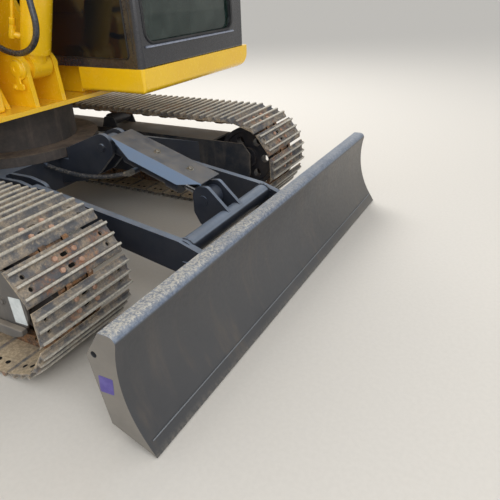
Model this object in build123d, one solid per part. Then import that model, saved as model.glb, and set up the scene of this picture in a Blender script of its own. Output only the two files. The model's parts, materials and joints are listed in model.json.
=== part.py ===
from build123d import *
from math import atan2, cos, degrees, hypot, pi, radians, sin, sqrt, tan
import os

# Crawler excavator of the 6 to 7 tonne class with a dozer blade.
# Millimetres. X points forward, Y to the left, Z up. The slew axis is at X = 0 while modelling,
# the ground is at Z = 0. At the end everything moves along X so that the middle of the whole
# machine lies over the origin.

# Fits
FIT = 0.3            # gap between pieces that bear on each other
SIDE_GAP = 6         # side clearance of an eye between two ears

# Tracks
TRACK_Y = 862        # middle of each track from the machine's centre line
SHOE_WIDTH = 450
SHOES = 40
AXLE_X = 1076        # idler axle in front, sprocket axle behind
AXLE_Z = 289
GROUSER_TOP = 56     # heights above the line through the chain pins
SHOE_TOP = 36
SHOE_UNDER = 28
RAIL_DEPTH = 32      # chain rail below the pin line
CHAIN_WIDTH = 150
GROUSER_PITCH = 48
GROUSER_TIP = 8
GROUSER_ROOT = 18
SHOE_LIP = 70
SHOE_TAIL = 64
NOTCH_WEB = 2

# Track frames
FRAME_WIDTH = 220
FRAME_PLATE = 12
FRAME_LOW = 150
FRAME_TOP = 395
FRAME_FRONT = 1130
FRAME_BACK = -800
IDLER_WIDTH = 84
IDLER_WEB = 48
IDLER_RIM = 26
IDLER_HUB = 62
IDLER_HOLE = 24
IDLER_HOLES = 6
ROLLER_RADIUS = 62
ROLLER_WIDTH = 180
ROLLERS = 5
ROLLER_SPACING = 335
CARRIER_RADIUS = 42
CARRIER_X = 10
CARRIER_POST = 140   # length of the carrier roller's bracket
AXLE_RADIUS = 22
SPROCKET_TEETH = 20
SPROCKET_THICK = 40
TOOTH_DEPTH = 26
MOTOR_RADIUS = 135
MOTOR_REACH = 250

# Centre frame and slew ring
BODY_HALF = 400      # half side of the square body under the ring
BODY_LOW = 300
BODY_TOP = 480
LEG_ROOT = (130, 400)
LEG_FOOT = (430, 760)
LEG_FOOT_LOW = 200
LEG_FOOT_TOP = 375
RING_RADIUS = 465
RING_THICK = 50
DRUM_RADIUS = 345
DECK_LOW = 750
DECK_THICK = 22

# Dozer blade
BLADE_HALF = 1131
BLADE_PLATE = 14
BLADE_END = 16
BLADE_BACK_KNEE = (1649, 76)
BLADE_TIP = (1815, 5)
BLADE_BACK = (1600, 330)
BLADE_TOP = 430
BLADE_TOP_BACK = 1665
BLADE_TOP_FRONT = 1727
BLADE_FRONT_MID = (1714, 285)
BLADE_WELD = (1789, 45)
RAIL_LOW = 335       # underside of the top rail
TOE_TOP = 120        # top of the box along the cutting edge
TIE_HOLE = (1632, 342)
TIE_HOLE_RADIUS = 11
BLADE_PIVOT = (600, 400)
BLADE_ARMS_Y = (-403, 338)   # middle of the right and the left blade arm, as the photograph shows them
BLADE_ARM_WIDTH = 34
BLADE_ARM_EYE = 56
TUBE_X = 1440
TUBE_Z = 293
TUBE_RADIUS = 44
BLADE_PIN_RADIUS = 20
BLADE_EAR = 20
EYE_RIM = 18         # steel of a bracket or ear round an eye
BRACKET_RISE = 22    # slopes of the blade cylinder's bracket above and below
BRACKET_FALL = 44
BLADE_HEAD_PIN = (735, 562)
BLADE_ROD_PIN = (1322, 369)
COVER_TOP = 160
COVER_FLANGE_OUT = 35
COVER_FLANGE_DOWN = 44
COVER_SHEET = 5
COVER_START = 55     # along the cylinder from its head pin
COVER_LENGTH = 543
COVER_HEIGHT = 88    # top of the cover above the cylinder's axis
COVER_LEAD_BACK = 149
COVER_LEAD_FRONT = 107
COVER_POSTS = (180, 360)   # along the cylinder from its head pin

# Boom geometry: the boom lies in the plane Y = BOOM_Y
BOOM_Y = -111
BOOM_FOOT = (50, 1330)
CYLINDER_FOOT = (430, 950)
BOOM_LENGTH = 3700
BOOM_RAISED = 49.7   # angle of the line from foot pin to arm pin
KNEE_ALONG = 1600
KNEE_UP = 520
BOOM_EYE_REACH = 1650   # from the foot pin to the boom cylinder's rod pin
BOOM_EYE_LIFT = 4       # angle of that line above the boom's chord
BOOM_WIDTH = 240
BOOM_FOOT_WIDTH = 300
BOOM_FOOT_RADIUS = 95
BOOM_TIP_RADIUS = 88
BOOM_DEPTH = 430
TOWER_PLATE = 25
TOWER_GAP = 5
LUG_HALF = 86        # middle of each cylinder lug from the boom's plane
LUG_PLATE = 25
LUG_FRONT = 490
MAIN_PIN = 35
EAR_PLATE = 24
EAR_WALL = 10

# Arm
ARM_LENGTH = 1650
ARM_HANG = -62       # angle of the line from boom pin to bucket pin
ARM_WIDTH = 170
ARM_DEPTH = 300
ARM_NOSE = 66
ARM_TAIL = (-450, 80)   # rod pin of the arm cylinder, along and above the arm's line
ARM_CYLINDER_FOOT = (1850, 830)   # along and above the boom's chord
ARM_FORK_FLOOR = -240
BOOM_FORK_FLOOR = 420   # how far the slot for the arm reaches back from the arm's pin

# Bucket and its linkage
ROCKER_BACK = 320    # rocker pin behind the bucket pin
ROCKER_LENGTH = 300
LINK_LENGTH = 305
BUCKET_EAR_REACH = 245
BUCKET_EAR_LEAD = 100   # angle of the ears' upper pin from the line to the tooth tips
BUCKET_HANG = -127   # angle of the line from bucket pin to tooth tips
ROCKER_PLATE = 16
LINK_PLATE = 34
BUCKET_EAR_PLATE = 22
LINK_PIN_RADIUS = 26
EYE_WALL = 22        # ring of steel round a pin
BUCKET_WIDTH = 700
BUCKET_MOUTH = 150   # from the bucket pin to the mouth's upper edge
BUCKET_REACH = 1060  # from the bucket pin to the cutting lip
BUCKET_DEPTH = 560   # from the mouth's plane to the bottom
BUCKET_SHEET = 14
BUCKET_SIDE = 18
BUCKET_CYLINDER_FOOT = (110, 300)
BUCKET_LIP = 26
TEETH = 5
TOOTH_WIDTH = 60
TOOTH_LENGTH = 130

# Hydraulic cylinders: radii of barrel, rod and eye, width of the eye, and the barrel from start to end
BLADE_CYLINDER = dict(barrel=50, rod=25, eye=50, width=74, start=120, length=440)
BOOM_CYLINDER = dict(barrel=70, rod=38, eye=58, width=110, start=75, length=990)
ARM_CYLINDER = dict(barrel=58, rod=32, eye=48, width=90, start=100, length=1430)
BUCKET_CYLINDER = dict(barrel=50, rod=28, eye=44, width=70, start=95, length=940)
GLAND = 25           # how far the gland stands out of the barrel's end
GLAND_STEP = 8
ROD_INSIDE = 150     # rod left inside the barrel as the machine stands

# Hoses
HOSE_COLLAR = 40     # length of the steel collar at a hose's end
COLLAR_WALL = 4
BOOM_HOSE_RADIUS = 14
BOOM_HOSE_Y = -262
BLADE_HOSE_RADIUS = 11
BLADE_PORT = (922, 463)
BLADE_PORT_OUT = 75  # how far the blade cylinder's port stands out from the centre line
BLADE_ELBOW_Y = -97

# Upper structure
FRONT_X = 500
TAIL_RADIUS = 1750
UPPER_HALF = 1060
WEIGHT_FRONT = -1230
WEIGHT_TOP = 1520
LIFT_Y = 420         # lifting holes in the counterweight's top
LIFT_BACK = 200
LIFT_RADIUS = 18
LIFT_DEPTH = 66
LIFT_CHAMFER = 4
BAY_FRONT = -480
HOOD_TOP = 1680
HOOD_HINGE_UP = 24   # hinge axis of the hood above its top
HINGE_RADIUS = 8
HINGE_EYE = 17
HINGE_PLATE = 12
HOOD_HINGES = (-250, 20)   # middles of the hood's two lugs
BULKHEAD = 20        # plate between the engine bay and the boom
BULKHEAD_GAP = 6
SHEET = 30
TANK_FRONT = -60
TANK_TOP = 1480
BOX_FRONT = 430
BOX_TOP = 1150
RIGHT_INNER = -330

# Cab
CAB_RIGHT = 95
CAB_LEFT = 1100
CAB_FRONT = 925
CAB_BACK = -450
CAB_LOW = 920
CAB_ROOF = 2600
CAB_ROOF_FRONT = 760
CAB_WALL = 45
CAB_FLOOR = 40
SKIRT_LOW = 800
POST = 70
POST_ROUND = 35      # rounding of the cab's front corner posts
WINDOW_ROUND = 60
SKIRT_BACK = 500     # the skirt's front part, which overhangs the deck, ends here
SKIRT_OUT = 44       # how far the skirt stands out on the left of the cab
SKIRT_IN = 70        # how far its rear part lies inside the cab's right side
SKIRT_ROUND = 110
DOOR_GAP = 6
DOOR_FRONT = 560
DOOR_BACK = -290
DOOR_HINGE_OUT = 14  # hinge axis outside the cab's side
DOOR_HINGES = (1250, 2150)   # heights of the two hinges
DOOR_KNUCKLE = 45
GLASS = 8


def up(point):
    """A point of the XZ plane as a vector."""
    return Vector(point[0], 0, point[1])


def flat(point):
    """A point of the XY plane as a vector."""
    return Vector(point[0], point[1], 0)


def outline(corners, lift=up):
    """Closed face from (x, z, radius) corners: straight runs joined by tangent arcs."""
    edges = []
    count = len(corners)
    cut = []
    for i in range(count):
        x, z, r = corners[i]
        px, pz, _ = corners[i - 1]
        nx, nz, _ = corners[(i + 1) % count]
        back = hypot(px - x, pz - z)
        ahead = hypot(nx - x, nz - z)
        ub = ((px - x) / back, (pz - z) / back)
        ua = ((nx - x) / ahead, (nz - z) / ahead)
        if r == 0:
            cut.append(((x, z), None, (x, z)))
            continue
        dot = ub[0] * ua[0] + ub[1] * ua[1]
        tangent = r * sqrt((1 + dot) / (1 - dot))
        middle = (ub[0] + ua[0], ub[1] + ua[1])
        share = (hypot(tangent, r) - r) / hypot(*middle)
        cut.append(((x + ub[0] * tangent, z + ub[1] * tangent),
                    (x + middle[0] * share, z + middle[1] * share),
                    (x + ua[0] * tangent, z + ua[1] * tangent)))
    for i in range(count):
        start, top, end = cut[i]
        if top:
            edges.append(Edge.make_three_point_arc(lift(start), lift(top), lift(end)))
        following = cut[(i + 1) % count][0]
        if hypot(following[0] - end[0], following[1] - end[1]) > 0.001:
            edges.append(Edge.make_line(lift(end), lift(following)))
    return Face(Wire(edges))


def inset(corners, wall):
    """The same corners moved inwards by a wall, for outlines that run anticlockwise seen from -Y."""
    count = len(corners)
    area = sum(corners[i - 1][0] * corners[i][1] - corners[i][0] * corners[i - 1][1] for i in range(count))
    side = 1 if area > 0 else -1
    moved = []
    for i in range(count):
        lines = []
        for a, b in ((corners[i - 1], corners[i]), (corners[i], corners[(i + 1) % count])):
            dx = b[0] - a[0]
            dz = b[1] - a[1]
            size = hypot(dx, dz)
            lines.append((a[0] - side * dz / size * wall, a[1] + side * dx / size * wall, dx, dz))
        ax, az, adx, adz = lines[0]
        bx, bz, bdx, bdz = lines[1]
        cross = adx * bdz - adz * bdx
        step = ((bx - ax) * bdz - (bz - az) * bdx) / cross
        moved.append((ax + adx * step, az + adz * step, max(corners[i][2] - wall, 0)))
    return moved


def plate(corners, y_low, y_high):
    """Upright plate with its outline in X and Z."""
    face = outline(corners).moved(Location((0, y_low, 0)))
    return Solid.extrude(face, Vector(0, y_high - y_low, 0))


def slab(corners, z_low, z_high):
    """Level plate with its outline in X and Y."""
    face = outline(corners, flat).moved(Location((0, 0, z_low)))
    return Solid.extrude(face, Vector(0, 0, z_high - z_low))


def block(x0, x1, y0, y1, z0, z1):
    """Box between two corners."""
    return Solid.make_box(x1 - x0, y1 - y0, z1 - z0).moved(Location((x0, y0, z0)))


def bar(start, end, radius):
    """Round bar between two points."""
    a = Vector(*start)
    b = Vector(*end)
    return Solid.make_cylinder(radius, (b - a).length, Plane(origin=a, z_dir=(b - a)))


def pin(point, y_low, y_high, radius):
    """Round bar along Y through a point of the XZ plane."""
    return bar((point[0], y_low, point[1]), (point[0], y_high, point[1]), radius)


def turned(origin, angle):
    """Returns a function that takes (along, across) of a tilted frame to (x, z)."""
    c = cos(radians(angle))
    s = sin(radians(angle))

    def to_xz(along, across):
        return (origin[0] + along * c - across * s, origin[1] + along * s + across * c)
    return to_xz


def placed(to_xz, corners):
    """Corners of a tilted frame as corners of the XZ plane."""
    return [(*to_xz(a, b), r) for a, b, r in corners]


def at(to_xz, along, across, y=0):
    """A point of a tilted frame as (x, y, z)."""
    x, z = to_xz(along, across)
    return (x, y, z)


def heading(start, end):
    """Angle in degrees of the line between two points of the XZ plane."""
    return degrees(atan2(end[1] - start[1], end[0] - start[0]))


def reach(start, end):
    """Distance between two points of the XZ plane."""
    return hypot(end[0] - start[0], end[1] - start[1])


def meet(a, ra, b, rb):
    """The point at ra from a and rb from b, on the left of the line from a to b."""
    d = reach(a, b)
    along = (ra * ra - rb * rb + d * d) / (2 * d)
    across = sqrt(ra * ra - along * along)
    return turned(a, heading(a, b))(along, across)


def both(shape):
    """A shape and its mirror image on the other side of the centre line."""
    return [shape, mirror(shape, Plane.XZ)]


# Points of the working arm as it stands
boom_frame = turned(BOOM_FOOT, BOOM_RAISED)
ARM_PIN = boom_frame(BOOM_LENGTH, 0)
BOOM_ROD_PIN = turned(BOOM_FOOT, BOOM_RAISED + BOOM_EYE_LIFT)(BOOM_EYE_REACH, 0)
ARM_FOOT_PIN = boom_frame(*ARM_CYLINDER_FOOT)
arm_frame = turned(ARM_PIN, ARM_HANG)
ARM_ROD_PIN = arm_frame(*ARM_TAIL)
BUCKET_PIN = arm_frame(ARM_LENGTH, 0)
ROCKER_PIN = arm_frame(ARM_LENGTH - ROCKER_BACK, 0)
BUCKET_FOOT_PIN = arm_frame(*BUCKET_CYLINDER_FOOT)
bucket_frame = turned(BUCKET_PIN, BUCKET_HANG)
LINK_PIN = turned(BUCKET_PIN, BUCKET_HANG + BUCKET_EAR_LEAD)(BUCKET_EAR_REACH, 0)
BUCKET_ROD_PIN = meet(ROCKER_PIN, ROCKER_LENGTH, LINK_PIN, LINK_LENGTH)

pieces = {}


def keep(name, *shapes):
    """Files the pieces of one sub-part under its name."""
    solids = []
    for shape in shapes:
        solids += shape.solids()
    pieces[name] = solids[0] if len(solids) == 1 else Compound(children=solids)


# Tracks


def pin_line():
    """Points of the chain's pins along the loop round idler and sprocket."""
    run = 2 * AXLE_X
    pitch_radius = AXLE_Z - GROUSER_TOP
    arc = pi * pitch_radius
    pitch = (2 * run + 2 * arc) / SHOES
    points = []
    for i in range(SHOES):
        s = i * pitch
        if s < run:
            points.append((-AXLE_X + s, AXLE_Z - pitch_radius))
        elif s < run + arc:
            t = (s - run) / pitch_radius
            points.append((AXLE_X + pitch_radius * sin(t), AXLE_Z - pitch_radius * cos(t)))
        elif s < 2 * run + arc:
            points.append((AXLE_X - (s - run - arc), AXLE_Z + pitch_radius))
        else:
            t = (s - 2 * run - arc) / pitch_radius
            points.append((-AXLE_X - pitch_radius * sin(t), AXLE_Z + pitch_radius * cos(t)))
    return points


def ring_at(points, height):
    """The pin loop moved outwards by a height, corner for corner."""
    corners = []
    count = len(points)
    for i in range(count):
        ahead = heading(points[i], points[(i + 1) % count])
        behind = heading(points[i - 1], points[i])
        half = ((ahead - behind + 180) % 360 - 180) / 2
        to_xz = turned(points[i], behind + half)
        corners.append((*to_xz(0, -height / cos(radians(half))), 0))
    return corners


def shoe_loop(points):
    """Outline of all shoes: lip, three grousers, tail and the notch to the next shoe."""
    notches = ring_at(points, SHOE_UNDER + NOTCH_WEB)
    corners = []
    for i in range(SHOES):
        start = points[i]
        end = points[(i + 1) % SHOES]
        middle = ((start[0] + end[0]) / 2, (start[1] + end[1]) / 2)
        to_xz = turned(middle, heading(start, end))
        corners.append(notches[i])
        corners.append((*to_xz(-SHOE_LIP, -SHOE_TOP), 0))
        for k in (-1, 0, 1):
            spot = k * GROUSER_PITCH
            corners.append((*to_xz(spot - GROUSER_ROOT / 2, -SHOE_TOP), 0))
            corners.append((*to_xz(spot - GROUSER_TIP / 2, -GROUSER_TOP), 0))
            corners.append((*to_xz(spot + GROUSER_TIP / 2, -GROUSER_TOP), 0))
            corners.append((*to_xz(spot + GROUSER_ROOT / 2, -SHOE_TOP), 0))
        corners.append((*to_xz(SHOE_TAIL, -SHOE_TOP), 0))
    return corners


def track():
    """One loop: shoes outside, the chain as a narrower band inside."""
    points = pin_line()
    half = SHOE_WIDTH / 2
    under = ring_at(points, SHOE_UNDER)
    rail = ring_at(points, -RAIL_DEPTH)
    shoes = plate(shoe_loop(points), TRACK_Y - half, TRACK_Y + half)
    shoes = shoes - plate(under, TRACK_Y - half, TRACK_Y + half)
    half = CHAIN_WIDTH / 2
    chain = plate(under, TRACK_Y - half, TRACK_Y + half) - plate(rail, TRACK_Y - half, TRACK_Y + half)
    return shoes + chain


PIN_RADIUS = AXLE_Z - GROUSER_TOP
PITCH = (4 * AXLE_X + 2 * pi * PIN_RADIUS) / SHOES
TREAD_RADIUS = PIN_RADIUS * cos(PITCH / PIN_RADIUS / 2) - RAIL_DEPTH - FIT
RAIL_Z = AXLE_Z - PIN_RADIUS + RAIL_DEPTH


def idler():
    """Front wheel: rim, thin web with round holes and a hub, on an axle between the frame's plates."""
    axle = (AXLE_X, AXLE_Z)
    half = IDLER_WIDTH / 2
    wheel = pin(axle, TRACK_Y - half, TRACK_Y + half, TREAD_RADIUS)
    for low, high in ((-half, -IDLER_WEB / 2), (IDLER_WEB / 2, half)):
        ring = pin(axle, TRACK_Y + low, TRACK_Y + high, TREAD_RADIUS - IDLER_RIM)
        ring -= pin(axle, TRACK_Y + low, TRACK_Y + high, IDLER_HUB)
        wheel -= ring
    for k in range(IDLER_HOLES):
        middle = (TREAD_RADIUS - IDLER_RIM + IDLER_HUB) / 2
        spot = turned(axle, 360 * k / IDLER_HOLES)(middle, 0)
        wheel -= pin(spot, TRACK_Y - half, TRACK_Y + half, IDLER_HOLE)
    inside = FRAME_WIDTH / 2 - FRAME_PLATE
    return wheel + pin(axle, TRACK_Y - inside, TRACK_Y + inside, AXLE_RADIUS * 1.5)


def sprocket():
    """Rear wheel with teeth, its travel motor inboard and the motor's flange."""
    axle = (-AXLE_X, AXLE_Z)
    corners = []
    step = 360 / SPROCKET_TEETH
    for k in range(SPROCKET_TEETH):
        for turn, depth in ((0.18, 0), (0.38, 1), (0.62, 1), (0.82, 0)):
            corner = turned(axle, (k + turn) * step)(TREAD_RADIUS - depth * TOOTH_DEPTH, 0)
            corners.append((*corner, 0))
    half = SPROCKET_THICK / 2
    wheel = plate(corners, TRACK_Y - half, TRACK_Y + half)
    wheel += pin(axle, TRACK_Y, TRACK_Y + half + 60, MOTOR_RADIUS - 15)
    return wheel + pin(axle, TRACK_Y - MOTOR_REACH, TRACK_Y, MOTOR_RADIUS)


def rollers():
    """Bottom rollers in a row and one carrier roller, each with its axle."""
    row = []
    inside = FRAME_WIDTH / 2 - FRAME_PLATE
    half = ROLLER_WIDTH / 2
    spots = [((k - (ROLLERS - 1) / 2) * ROLLER_SPACING, RAIL_Z + ROLLER_RADIUS + FIT, ROLLER_RADIUS)
             for k in range(ROLLERS)]
    spots.append((CARRIER_X, AXLE_Z + PIN_RADIUS - RAIL_DEPTH - CARRIER_RADIUS - FIT, CARRIER_RADIUS))
    for x, z, radius in spots:
        roller = pin((x, z), TRACK_Y - half, TRACK_Y + half, radius)
        if radius == ROLLER_RADIUS:
            roller += pin((x, z), TRACK_Y - inside, TRACK_Y + inside, AXLE_RADIUS)
        row.append(roller)
    return row


def track_frame():
    """Beam open below: two side plates, a top plate, idler guards in front and the motor plate behind."""
    low = TRACK_Y - FRAME_WIDTH / 2
    high = TRACK_Y + FRAME_WIDTH / 2
    front = AXLE_X - TREAD_RADIUS - 25
    side = [(FRAME_BACK, FRAME_LOW, 0), (FRAME_FRONT - 30, FRAME_LOW, 20), (FRAME_FRONT, FRAME_LOW + 60, 20),
            (FRAME_FRONT, FRAME_TOP - 60, 20), (FRAME_FRONT - 50, FRAME_TOP, 20), (FRAME_BACK, FRAME_TOP, 0)]
    beam = plate(side, low, low + FRAME_PLATE) + plate(side, high - FRAME_PLATE, high)
    beam += block(FRAME_BACK, front, low, high, FRAME_TOP - FRAME_PLATE, FRAME_TOP)
    beam += block(FRAME_BACK, FRAME_BACK + FRAME_PLATE, low, high, FRAME_LOW, FRAME_TOP)
    axle = (-AXLE_X, AXLE_Z)
    ear = plate([(-AXLE_X, AXLE_Z - MOTOR_RADIUS - 30, 0), (FRAME_BACK, FRAME_LOW, 0),
                 (FRAME_BACK, FRAME_TOP, 0), (-AXLE_X, AXLE_Z + MOTOR_RADIUS + 30, 0)], low, low + 20)
    ear += pin(axle, low, low + 20, MOTOR_RADIUS + 30)
    ear -= pin(axle, low, low + 20, MOTOR_RADIUS + FIT)
    top = AXLE_Z + PIN_RADIUS - RAIL_DEPTH - CARRIER_RADIUS - FIT
    inner = ROLLER_WIDTH / 2 + FIT
    for y in (TRACK_Y - inner - 8, TRACK_Y + inner):
        beam += plate([(CARRIER_X - CARRIER_POST / 2, FRAME_TOP, 0), (CARRIER_X + CARRIER_POST / 2, FRAME_TOP, 0),
                       (CARRIER_X + CARRIER_RADIUS, top + 20, 15), (CARRIER_X - CARRIER_RADIUS, top + 20, 15)], y, y + 8)
    return beam + ear


track_solid = track()
frame_solid = track_frame()
idler_solid = idler()
sprocket_solid = sprocket()
roller_row = rollers()
for side, flip in (("left", False), ("right", True)):
    keep("track_" + side, mirror(track_solid, Plane.XZ) if flip else track_solid)
    keep("track_frame_" + side, mirror(frame_solid, Plane.XZ) if flip else frame_solid)
keep("idlers", *both(idler_solid))
keep("sprockets", *both(sprocket_solid))
keep("rollers", *roller_row, *[mirror(roller, Plane.XZ) for roller in roller_row])


# Centre frame with its X legs and the blade's brackets


def leg(front, left):
    """One leg: a box that runs out and forward (or back) while its top falls."""
    y0 = BODY_HALF * left
    y1 = (TRACK_Y - FRAME_WIDTH / 2) * left
    sections = []
    ends = ((y0, LEG_ROOT, BODY_LOW, BODY_TOP), (y1, LEG_FOOT, LEG_FOOT_LOW, LEG_FOOT_TOP))
    for y, span, low, high in ends:
        corners = [(span[0] * front, low, 0), (span[1] * front, low, 0),
                   (span[1] * front, high, 0), (span[0] * front, high, 0)]
        sections.append(outline(corners).moved(Location((0, y, 0))).outer_wire())
    return Solid.make_loft(sections, ruled=True)


def centre_frame():
    """Square body under the ring, four legs, brackets of the blade arms and of the blade cylinder."""
    chamfer = 120
    h = BODY_HALF
    body = slab([(h, -h + chamfer, 0), (h, h - chamfer, 0), (h - chamfer, h, 0), (-h + chamfer, h, 0),
                 (-h, h - chamfer, 0), (-h, -h + chamfer, 0), (-h + chamfer, -h, 0), (h - chamfer, -h, 0)],
                BODY_LOW, BODY_TOP)
    for front in (1, -1):
        for left in (1, -1):
            body += block(*sorted((front * LEG_ROOT[0], front * LEG_ROOT[1])),
                          *sorted((left * (h - chamfer), left * h)), BODY_LOW, BODY_TOP)
            body += leg(front, left)
    px, pz = BLADE_PIVOT
    half = BLADE_ARM_WIDTH / 2 + SIDE_GAP
    ear = [(h - 60, BODY_LOW, 0), (px - 40, BODY_LOW, 0), (px + BLADE_ARM_EYE, pz - BLADE_ARM_EYE, 50),
           (px + BLADE_ARM_EYE, pz + BLADE_ARM_EYE, 50), (px - 60, BODY_TOP, 0), (h - 60, BODY_TOP, 0)]
    for middle in BLADE_ARMS_Y:
        for y in (middle - half - BLADE_EAR, middle + half):
            body += plate(ear, y, y + BLADE_EAR)
    hx, hz = BLADE_HEAD_PIN
    r = BLADE_CYLINDER["eye"] + EYE_RIM
    nose = hx + r
    low = hz - r * tan(radians((90 - BRACKET_FALL) / 2))
    high = hz + r * tan(radians((90 + BRACKET_RISE) / 2))
    foot = low - (nose - px - 80) * tan(radians(BRACKET_FALL))
    back = RING_RADIUS + 12
    bracket = [(h - 20, BODY_LOW + 20, 0), (px - 20, foot - 50, 60), (px + 80, foot, 30), (nose, low, r - 1),
               (nose, high, r - 1), (back, high - (nose - back) * tan(radians(BRACKET_RISE)), 0),
               (back, BODY_TOP - 10, 0), (h - 20, BODY_TOP - 10, 0)]
    half = BLADE_CYLINDER["width"] / 2 + SIDE_GAP
    for y in (-half - 25, half):
        body += plate(bracket, y, y + 25)
    pin_half = BLADE_ARM_WIDTH / 2 + 40
    for y in BLADE_ARMS_Y:
        body += pin(BLADE_PIVOT, y - pin_half, y + pin_half, BLADE_PIN_RADIUS)
    body += pin(BLADE_HEAD_PIN, -half - 35, half + 35, BLADE_PIN_RADIUS)
    return body


keep("centre_frame", centre_frame())
keep("slew_ring_lower", bar((0, 0, BODY_TOP + FIT), (0, 0, BODY_TOP + RING_THICK), RING_RADIUS))


# Dozer blade


def blade_face():
    """Outline of the end plate: cutting tip, back, rounded top and hollow front."""
    tip = up(BLADE_TIP)
    knee = up(BLADE_BACK_KNEE)
    back = up(BLADE_BACK)
    back_top = up((BLADE_TOP_BACK, BLADE_TOP))
    nose = 26
    nose_start = up((BLADE_TOP_FRONT - nose, BLADE_TOP))
    nose_middle = up((BLADE_TOP_FRONT - nose * 0.293, BLADE_TOP - nose * 0.293))
    nose_end = up((BLADE_TOP_FRONT, BLADE_TOP - nose))
    edges = [Edge.make_line(tip, knee), Edge.make_line(knee, back), Edge.make_line(back, back_top),
             Edge.make_line(back_top, nose_start),
             Edge.make_three_point_arc(nose_start, nose_middle, nose_end),
             Edge.make_three_point_arc(nose_end, up(BLADE_FRONT_MID), up(BLADE_WELD)),
             Edge.make_line(up(BLADE_WELD), tip)]
    return Face(Wire(edges))


def blade_pocket(far):
    """Side outline between the mouldboard's back, the top rail, the toe box and an upright at far."""
    depth = BLADE_PLATE
    fx, fz = BLADE_FRONT_MID
    top = up((BLADE_TOP_FRONT - depth - 4, RAIL_LOW))
    middle = up((fx - depth, fz - 60))
    low = up((fx - depth + 22, TOE_TOP))
    edges = [Edge.make_three_point_arc(top, middle, low), Edge.make_line(low, up((far, TOE_TOP))),
             Edge.make_line(up((far, TOE_TOP)), up((far, RAIL_LOW))), Edge.make_line(up((far, RAIL_LOW)), top)]
    return Face(Wire(edges))


def across(face, half):
    """A side outline made solid over the width from -half to half."""
    return Solid.extrude(face.moved(Location((0, -half, 0))), Vector(0, 2 * half, 0))


def blade_board():
    """Mouldboard with end plates, top rail and toe box, and the tie-down holes in its ends."""
    board = across(blade_face(), BLADE_HALF)
    board -= across(blade_pocket(BLADE_BACK[0] - 60), BLADE_HALF - BLADE_END)
    board -= pin(TIE_HOLE, -BLADE_HALF, -BLADE_HALF + 40, TIE_HOLE_RADIUS)
    board -= pin(TIE_HOLE, BLADE_HALF - 40, BLADE_HALF, TIE_HOLE_RADIUS)
    return board


def blade_arms():
    """Two box arms with their rear eyes, the cross tube and the ears of the rod."""
    px, pz = BLADE_PIVOT
    root = BLADE_BACK[0] + 150
    half = BLADE_ARM_WIDTH / 2
    side = [(px, pz - BLADE_ARM_EYE, 0), (px + 460, pz - 150, 200), (root, TOE_TOP + 2, 0), (root, 230, 0),
            (TUBE_X - 15, 338, 60), (px, pz + BLADE_ARM_EYE, 0)]
    arms = pin((TUBE_X, TUBE_Z), BLADE_ARMS_Y[0], BLADE_ARMS_Y[1], TUBE_RADIUS)
    for y in BLADE_ARMS_Y:
        arm = plate(side, y - half, y + half) + pin(BLADE_PIVOT, y - half, y + half, BLADE_ARM_EYE)
        arms += arm - pin(BLADE_PIVOT, y - half, y + half, BLADE_PIN_RADIUS + FIT)
    rx, rz = BLADE_ROD_PIN
    r = BLADE_CYLINDER["eye"] + 7
    ear = [(rx - r, rz - r - 10, 40), (rx - 20, TUBE_Z - r, 25), (TUBE_X - 10, TUBE_Z - TUBE_RADIUS + 4, 0),
           (TUBE_X + 30, TUBE_Z + 10, 0), (TUBE_X + 22, rz - 38, 15), (rx + 25, rz + r + 14, 30),
           (rx - r, rz + r + 4, r - 4)]
    inner = BLADE_CYLINDER["width"] / 2 + SIDE_GAP
    for y in (-inner - BLADE_EAR, inner):
        arms += plate(ear, y, y + BLADE_EAR)
        head = y - 4 if y < 0 else y + BLADE_EAR
        arms += pin(BLADE_ROD_PIN, head, head + 4, BLADE_PIN_RADIUS + 4)
    return arms - across(blade_pocket(root + 200), BLADE_HALF)


keep("blade_board", blade_board())
keep("blade_arms", blade_arms())


# Hydraulic cylinders


def cylinder(foot, eye, sizes, y, foot_pin):
    """Barrel with its foot eye and gland, and the rod with its eye, which is filled by its pin."""
    to_xz = turned(foot, heading(foot, eye))
    far = reach(foot, eye)
    half = sizes["width"] / 2
    gland = sizes["length"]

    def along(a):
        return at(to_xz, a, 0, y)
    barrel = bar(along(sizes["start"]), along(gland), sizes["barrel"])
    barrel += bar(along(gland - 2 * GLAND), along(gland + GLAND), sizes["barrel"] + GLAND_STEP)
    barrel += bar(along(sizes["eye"] / 2), along(sizes["start"]), min(half, sizes["barrel"]) - 2)
    barrel -= bar(along(sizes["start"] + 30), along(gland + GLAND), sizes["rod"] + FIT)
    barrel += pin(foot, y - half, y + half, sizes["eye"])
    barrel -= pin(foot, y - half, y + half, foot_pin + FIT)
    rod = bar(along(gland - ROD_INSIDE), along(far - sizes["eye"] / 2), sizes["rod"])
    rod += pin(eye, y - half, y + half, sizes["eye"])
    return barrel, rod


for name, foot, eye, sizes, y, foot_pin in (
        ("blade", BLADE_HEAD_PIN, BLADE_ROD_PIN, BLADE_CYLINDER, 0, BLADE_PIN_RADIUS),
        ("boom", CYLINDER_FOOT, BOOM_ROD_PIN, BOOM_CYLINDER, BOOM_Y, MAIN_PIN),
        ("arm", ARM_FOOT_PIN, ARM_ROD_PIN, ARM_CYLINDER, BOOM_Y, MAIN_PIN),
        ("bucket", BUCKET_FOOT_PIN, BUCKET_ROD_PIN, BUCKET_CYLINDER, BOOM_Y, MAIN_PIN - 7)):
    barrel, rod = cylinder(foot, eye, sizes, y, foot_pin)
    keep(name + "_cylinder_barrel", barrel)
    keep(name + "_cylinder_rod", rod)


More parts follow.
